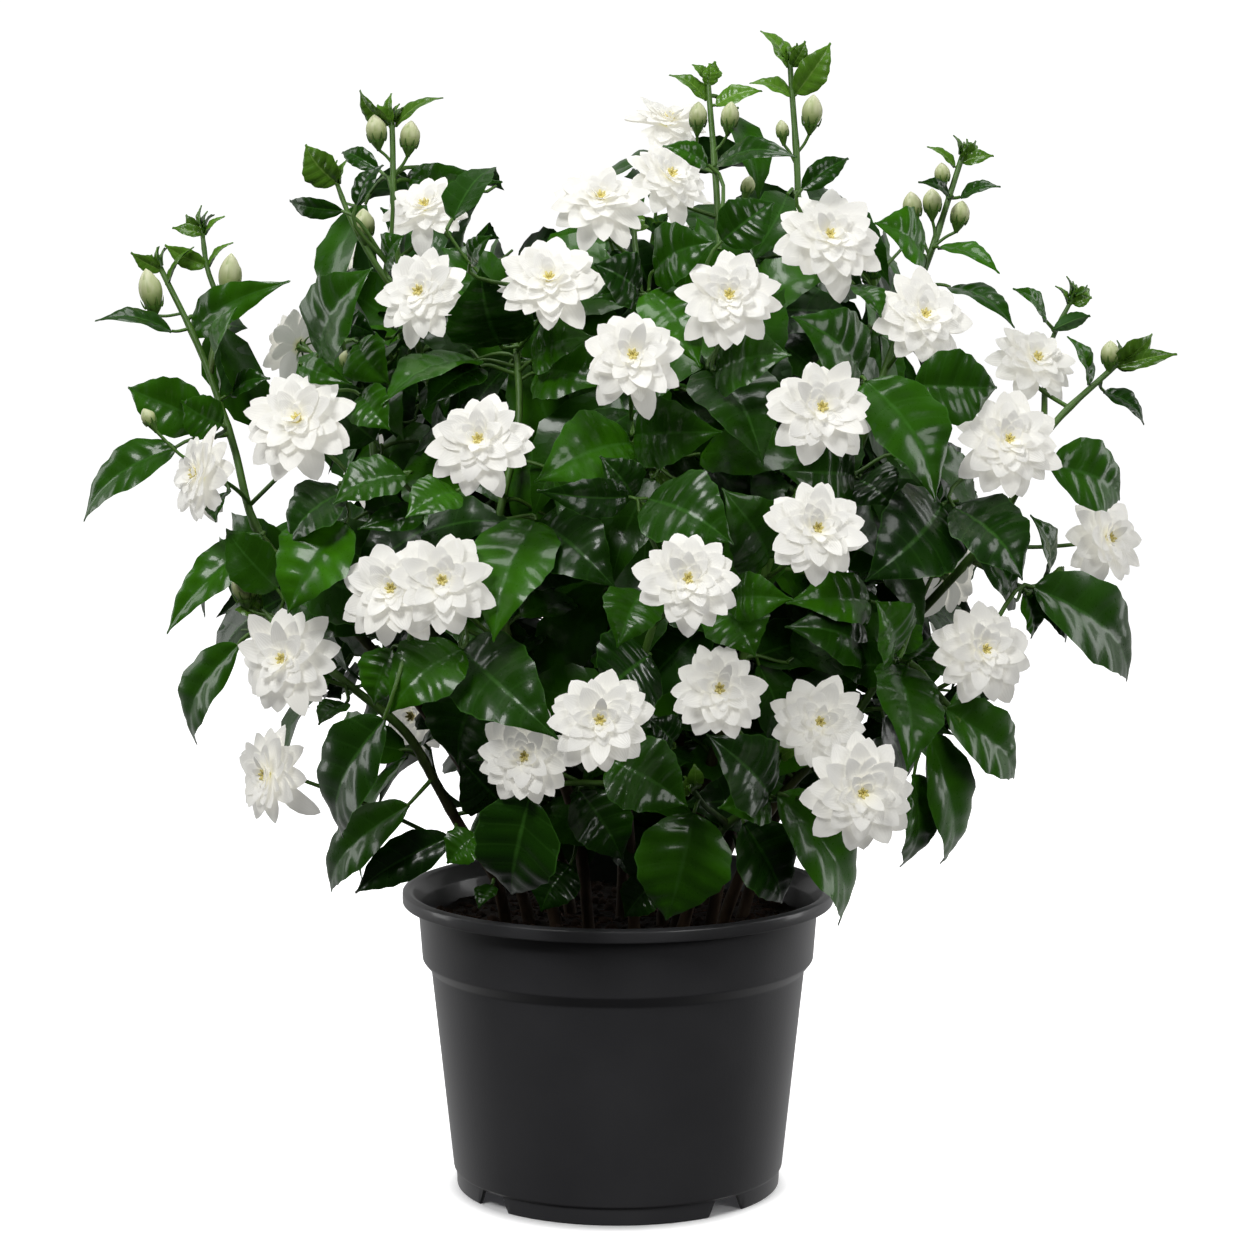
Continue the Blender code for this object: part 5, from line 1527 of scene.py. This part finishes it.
def blades(leaves, vein_rows, side_count, seed):
    """Blade skins whose rows run along the side veins: a row starts at T on the midrib
    and reaches its edge a fifth of the length further on. Across, each half rises from
    the sunken midrib and droops to its edge; pillows stand between the veins; along,
    the blade arches, twists and drops its tip.
    """
    draw = np.random.default_rng(seed)
    count = len(leaves)
    foot, tip, up = (vectors(leaves, key) for key in ("foot", "tip", "up"))
    width, sag, youth = (values(leaves, key) for key in ("width", "sag", "youth"))
    length = np.linalg.norm(tip - foot, axis=1)[:, None, None]
    chord = unit(tip - foot)
    side = np.cross(up, chord)
    up, side, chord = up[:, None, None], side[:, None, None], chord[:, None, None]
    rows = VEINS * vein_rows
    place = np.linspace(0.0, 1.0, rows + 1)[:-1, None]
    upper = np.linspace(1.0, -1.0, side_count)
    upper = np.sign(upper) * np.abs(upper) ** 1.2
    s = np.concatenate([upper, -upper[1:-1]])[None]
    under = np.concatenate([np.zeros(side_count), np.ones(side_count - 2)])[None]
    edge = np.abs(s)
    t = 0.6 * place + 0.2 - 0.2 * np.cos(math.pi * place)
    t = t + 0.19 * edge**1.3 * np.minimum(1.0, place / 0.35) ** 1.5 * (1.0 - place) ** 0.9
    power = 0.8 + 0.45 * np.clip((t - 0.4) / 0.6, 0.0, 1.0)
    share = np.maximum(np.sin(math.pi * t**0.75), 0.0) ** power
    phase = draw.uniform(0.0, math.tau, (4, count, 1, 1))
    scallop = 1.0 - 0.035 * edge**4 * np.cos(math.tau * VEINS * place)
    half = np.maximum(width / 2 * share * scallop, 0.7)
    fold = half * (0.30 * edge - 0.15 * edge**3)
    ruffle = np.sin(math.tau * 2.3 * t + phase[0] + 1.2 * np.sign(s)) * 0.08 * half * edge**2.5
    pillow = np.abs(np.sin(math.pi * VEINS * place)) ** 0.9 - 0.6
    bulge = np.sin(math.pi * edge**0.75) + 0.25 * edge**3
    pillow = 1.3 * pillow * np.minimum(1.0, half / 12) * bulge
    uneven = np.sin(phase[1] + 2.1 * np.round(VEINS * place) + 1.7 * np.sign(s))
    pillow = pillow * (0.8 + 0.35 * uneven)
    groove = -0.6 * np.exp(-((s * half / 1.8) ** 2)) * (1.0 - t)
    thick = (0.30 - 0.62 * under) * (1.0 - s**4) + under * groove
    lift = fold + ruffle + pillow + groove + thick
    drop = 0.07 * length * np.clip((t - 0.55) / 0.45, 0.0, 1.0) ** 2
    rise = sag * length * np.sin(math.pi * t) - drop
    slope = sag * math.pi * np.cos(math.pi * t) - 0.2 * np.clip((t - 0.55) / 0.45, 0.0, 1.0)
    twist = 0.22 * np.sin(phase[3]) * (t - 0.3)
    ahead = unit(chord + up * slope[..., None])
    normal = np.cross(ahead, np.broadcast_to(side, ahead.shape))
    cos, sin = np.cos(twist)[..., None], np.sin(twist)[..., None]
    side, normal = side * cos + normal * sin, normal * cos - side * sin
    bend = 0.03 * length * np.sin(phase[2]) * np.sin(math.pi * t)
    spine = foot[:, None, None] + chord * (length * t)[..., None] + up * rise[..., None]
    rings = spine + side * (half * s + bend)[..., None] + normal * lift[..., None]
    tint = draw.uniform(0.0, 1.0, (count, 1, 1))
    marks = dict(along=place, across=s, tint=tint, under=under, youth=youth)
    end = tip - up[:, 0, 0] * 0.07 * length[:, 0]
    return rings, foot - chord[:, 0, 0] * 0.6, end, marks


def petiole_paths(leaves, rows):
    """Curves that leave the wood towards the blade's foot and arrive along the blade."""
    root, foot, tip = (vectors(leaves, key) for key in ("root", "foot", "tip"))
    t = np.linspace(0.0, 1.0, rows)[None, :, None]
    pull = CURVE_PULL * np.linalg.norm(foot - root, axis=1)[:, None]
    first = (root + unit(foot - root) * pull)[:, None]
    second = (foot - unit(tip - foot) * pull)[:, None]
    return cubic(root[:, None], first, second, foot[:, None], t)


for number, cane in enumerate(canes):
    for plain, rows, side_count in ((False, 4, 10), (True, 2, 5)):
        some = [leaf for leaf in cane.leaves if leaf.plain == plain]
        if not some:
            continue
        rings, start, end, marks = blades(some, rows, side_count, BLADE_SEED + number)
        cane.skin.add(rings, start, end, 1, **marks)
        path = petiole_paths(some, 7)
        far = np.linalg.norm(path[:, -1] - path[:, 0], axis=1)[:, None]
        radii = PETIOLE * (1.0 + np.clip(far / 60.0, 0.0, 0.5) * (1.0 - np.linspace(0.0, 1.0, 7)))
        cane.skin.tube(path, radii, 6, youth=0.9)
    for path in cane.twigs:
        add_wood(cane, path, *TWIG_RADII, 10, 6, (0.6, 1.0), 0.15)

bark = Paint("bark", 0.62)
streak = bark.noise(300.0, 3.0, stretch=(1.0, 1.0, 0.25))
brown = bark.mix(streak, (0.028, 0.016, 0.008), (0.100, 0.062, 0.030))
green = bark.mix(streak, (0.040, 0.110, 0.010), (0.090, 0.200, 0.022))
youth = bark.mark("youth")
bark.give("Base Color", bark.mix((youth + streak * 0.3).ramp(0.35, 0.75), brown, green))
bark.give("Roughness", 0.70 - youth * 0.25)
bark.bump(streak, 0.0005)

leaf_paint = Paint("leaf", 0.3, Specular_IOR_Level=0.22, Coat_Weight=0.24, Coat_Roughness=0.10)
along, across = leaf_paint.mark("along"), leaf_paint.mark("across").size()
tint, under, youth = (leaf_paint.mark(name) for name in ("tint", "under", "youth"))
blotch = leaf_paint.noise(60.0, 3.0)
fine = leaf_paint.noise(700.0, 2.0)
upper = leaf_paint.mix(tint**1.6, (0.005, 0.029, 0.001), (0.040, 0.172, 0.002))
upper = leaf_paint.mix(blotch.ramp(0.35, 0.7) * 0.5, upper, (0.012, 0.050, 0.001))
upper = leaf_paint.mix(youth * (0.55 + tint * 0.35), upper, (0.110, 0.260, 0.020))
from_vein = along.math("PINGPONG", along * VEINS, 0.5) * 2.0
near_vein = from_vein.ramp(0.14, 0.0)
near_rib = across.ramp(0.07, 0.02)
rim = across.ramp(0.96, 1.0)
pale = leaf_paint.mix(youth, (0.045, 0.150, 0.018), (0.240, 0.420, 0.080))
veined = (near_vein * 0.22 + near_rib * 0.6 + rim * 0.9).ramp(0.0, 1.0)
upper = leaf_paint.mix(veined, upper, pale)
lower = leaf_paint.mix(near_rib, (0.030, 0.100, 0.016), (0.090, 0.220, 0.045))
leaf_paint.give("Base Color", leaf_paint.mix(under, upper, lower))
leaf_paint.give("Roughness", 0.25 + fine * 0.07 + under * 0.2)
leaf_paint.bump(fine * 0.05, 0.0013)

bud_paint = Paint("bud", 0.42)
along, roll = bud_paint.mark("along"), bud_paint.mark("across")
wisp = bud_paint.noise(350.0, 2.0, stretch=(1.0, 1.0, 0.3))
cream = bud_paint.mix(along.ramp(0.10, 0.50), (0.200, 0.330, 0.070), (0.520, 0.570, 0.270))
cream = bud_paint.mix(along.ramp(0.35, 1.0), cream, (0.760, 0.760, 0.540))
cream = bud_paint.mix(wisp.ramp(0.35, 0.75) * 0.55, cream, (0.330, 0.440, 0.120))
cream = bud_paint.mix(roll.ramp(0.22, 0.0) * 0.6, cream, (0.240, 0.360, 0.080))
bud_paint.give("Base Color", cream)
bud_paint.give("Roughness", 0.38 + wisp * 0.15)

for cane in canes:
    name = f"jasmine_stem_{cane.number:02}"
    cane.skin.piece(name, [bark, leaf_paint, bud_paint], "foliage", cane.node, crease=75.0)


# The blooms: full double flowers of fifty white petals in seven rings, the outer
# ones broad and nearly flat, the inner ones narrow and upright round a small yellow
# heart.
PETAL_RINGS = (
    # petals, reach and width as shares of the bloom's radius, height of the foot,
    # and the angle at which they rise from the seat and end, in degrees
    (8, 1.00, 0.51, -0.8, 8.0, -14.0),
    (8, 0.96, 0.48, -0.2, 17.0, -6.0),
    (8, 0.83, 0.43, 0.4, 28.0, 2.0),
    (8, 0.69, 0.37, 1.0, 37.0, 9.0),
    (7, 0.54, 0.31, 1.5, 46.0, 18.0),
    (6, 0.40, 0.25, 2.0, 54.0, 28.0),
    (5, 0.27, 0.19, 2.5, 62.0, 38.0),
)
PETAL_ROWS = np.array([0.0, 0.16, 0.34, 0.52, 0.68, 0.82, 0.93, 1.0])
PETAL_COLUMNS = 6
PETAL_SEED = 21


def petals(head, side_count, draw):
    """Petal skins of a bloom. Each follows a curve that leaves the heart at one angle
    and ends at another; its width swells to beyond the middle and closes in a point.
    """
    table = [np.tile((*row, place), (row[0], 1)) for place, row in enumerate(PETAL_RINGS)]
    table = np.concatenate(table)
    spread = np.concatenate([np.arange(row[0]) / row[0] for row in PETAL_RINGS])
    count = len(table)
    _, reach, wide, low, rise, fall, ring = (column[:, None] for column in table.T)
    jitter = draw.normal(size=(6, count, 1))
    turn = head.spin + math.tau * spread[:, None] + 2.0 * ring + 0.12 * jitter[0]
    t = PETAL_ROWS[None]
    axis, side, over = head.ways
    radial = spokes(side, over, turn[..., None])
    cross = np.cross(axis, radial)
    hang = np.clip(-radial[..., 2], 0.0, 1.0) * np.exp(-1.2 * ring)
    angle = np.radians(rise + 5.0 * jitter[1] + (fall - rise + 9.0 * jitter[2] - 16.0 * hang) * t)
    step = np.diff(PETAL_ROWS, prepend=0.0)
    out = np.cumsum(np.cos(angle) * step, 1)
    climb = np.cumsum(np.sin(angle) * step, 1)
    goal = np.maximum(reach * head.radius * (1.0 + 0.05 * jitter[3]) - 2.0, 3.0)
    long = goal / np.maximum(out[:, -1:], 0.35)
    out = 2.0 * np.exp(-0.25 * ring) + long * (out - out[:, :1])
    climb = low + long * (climb - climb[:, :1])
    spine = np.array(head.centre) + radial * out[..., None] + axis * climb[..., None]
    normal = axis * np.cos(angle)[..., None] - radial * np.sin(angle)[..., None]
    upper = np.linspace(1.0, -1.0, side_count)
    s = np.concatenate([upper, -upper[1:-1]])[None, None]
    under = np.concatenate([np.zeros(side_count), np.ones(side_count - 2)])[None, None]
    t = t[..., None]
    swell = 0.36 + 0.64 * np.sin(math.pi / 2 * np.minimum(t / 0.60, 1.0))
    close = np.maximum(1.0 - np.clip((t - 0.50) / 0.50, 0.0, 1.0) ** 2.0, 0.0) ** 0.74
    half = (wide * head.radius / 2 * (1.0 + 0.08 * jitter[4]))[..., None] * swell * close
    cup = (0.16 + 0.03 * ring[..., None]) * half * s**2 * (1.0 - 0.6 * t)
    wave = 0.07 * half * np.sin(math.tau * 1.1 * t + 3.0 * jitter[5][..., None] + s) * np.abs(s)
    keel = -0.25 * np.cos(2.5 * math.pi * s) * np.sin(math.pi * t) * half / 6.0
    thick = (0.22 - 0.44 * under) * (1.0 - s**4)
    off, lift = (half * s)[..., None], (cup + wave + keel + thick)[..., None]
    rings = spine[:, :, None] + cross[:, :, None] * off + normal[:, :, None] * lift
    start, end = spine[:, 0] - normal[:, 0] * 0.2, spine[:, -1] + normal[:, -1] * cup[:, -1, :1]
    tint = ring[..., None] / (len(PETAL_RINGS) - 1)
    varied = np.abs(jitter[3][..., None]) * 0.3
    marks = dict(along=t[:, :-1], across=s, tint=tint, youth=varied)
    return rings[:, :-1], start, end, marks


def heart(head):
    """Paths, radii and sides of the yellow heart: a low knob ringed by six blunt points
    that lean outwards.
    """
    axis, side, over = head.ways
    centre = np.array(head.centre)
    t = np.linspace(0.0, 1.0, 5)
    knob = (centre + axis * (-1.0 + 5.0 * t)[:, None])[None]
    knob_radii = 2.4 * np.cos(t * 1.3)
    out = spokes(side, over, full_turn(6)[:, None, None] + head.spin)
    t = t[:, None]
    point = centre + axis * (2.6 + 3.6 * t) + out * (1.2 + 1.3 * t**2)
    point_radii = 0.95 * np.sin(math.pi * (0.2 + 0.68 * t[:, 0]))
    return (knob, knob_radii, 9), (point, point_radii, 6)


# the petals glow faintly in their own colour: painted light that stands in for light shining
# through the thin petals and lifts their shade
glowing_petal_paint = Paint("petal", 0.5, Emission_Strength=0.30)
along, across = glowing_petal_paint.mark("along"), glowing_petal_paint.mark("across")
ring, varied = glowing_petal_paint.mark("tint"), glowing_petal_paint.mark("youth")
streaks = (across * 22.0 + along * 3.0).sine()
mottle = glowing_petal_paint.noise(90.0, 2.0)
white = glowing_petal_paint.mix(mottle * 0.4 + varied, (0.735, 0.728, 0.690), (0.700, 0.690, 0.640))
deep = ((1.0 - along) * 0.6 + ring * 0.4).ramp(0.5, 1.0)
white = glowing_petal_paint.mix(deep * 0.4, white, (0.920, 0.860, 0.560))
white = glowing_petal_paint.mix((1.0 - along).ramp(0.84, 1.0) * 0.7, white, (0.640, 0.640, 0.260))
glowing_petal_paint.give("Base Color", white)
# painted glow: the petals give off light in their own colour
glowing_petal_paint.give("Emission Color", white)
glowing_petal_paint.give("Roughness", 0.46 + mottle * 0.12)
glowing_petal_paint.bump(streaks * 0.06 + mottle * 0.5, 0.0002)

heart_paint = Paint("heart", 0.6)
grains = heart_paint.noise(900.0, 2.0)
yellow = heart_paint.mix(grains, (0.680, 0.580, 0.140), (0.920, 0.840, 0.420))
heart_paint.give("Base Color", yellow)
heart_paint.bump(grains, 0.0004)

petal_draw = np.random.default_rng(PETAL_SEED)
for tag, heads in blooms.items():
    skin = Skin()
    for head in heads:
        rings, start, end, marks = petals(head, PETAL_COLUMNS, petal_draw)
        skin.add(rings, start, end, 0, **marks)
        for part in heart(head):
            skin.tube(*part, 1)
    name = f"jasmine_flower_{tag}"
    skin.piece(name, [glowing_petal_paint, heart_paint], "petals", f"bloom_{tag}", crease=75.0)
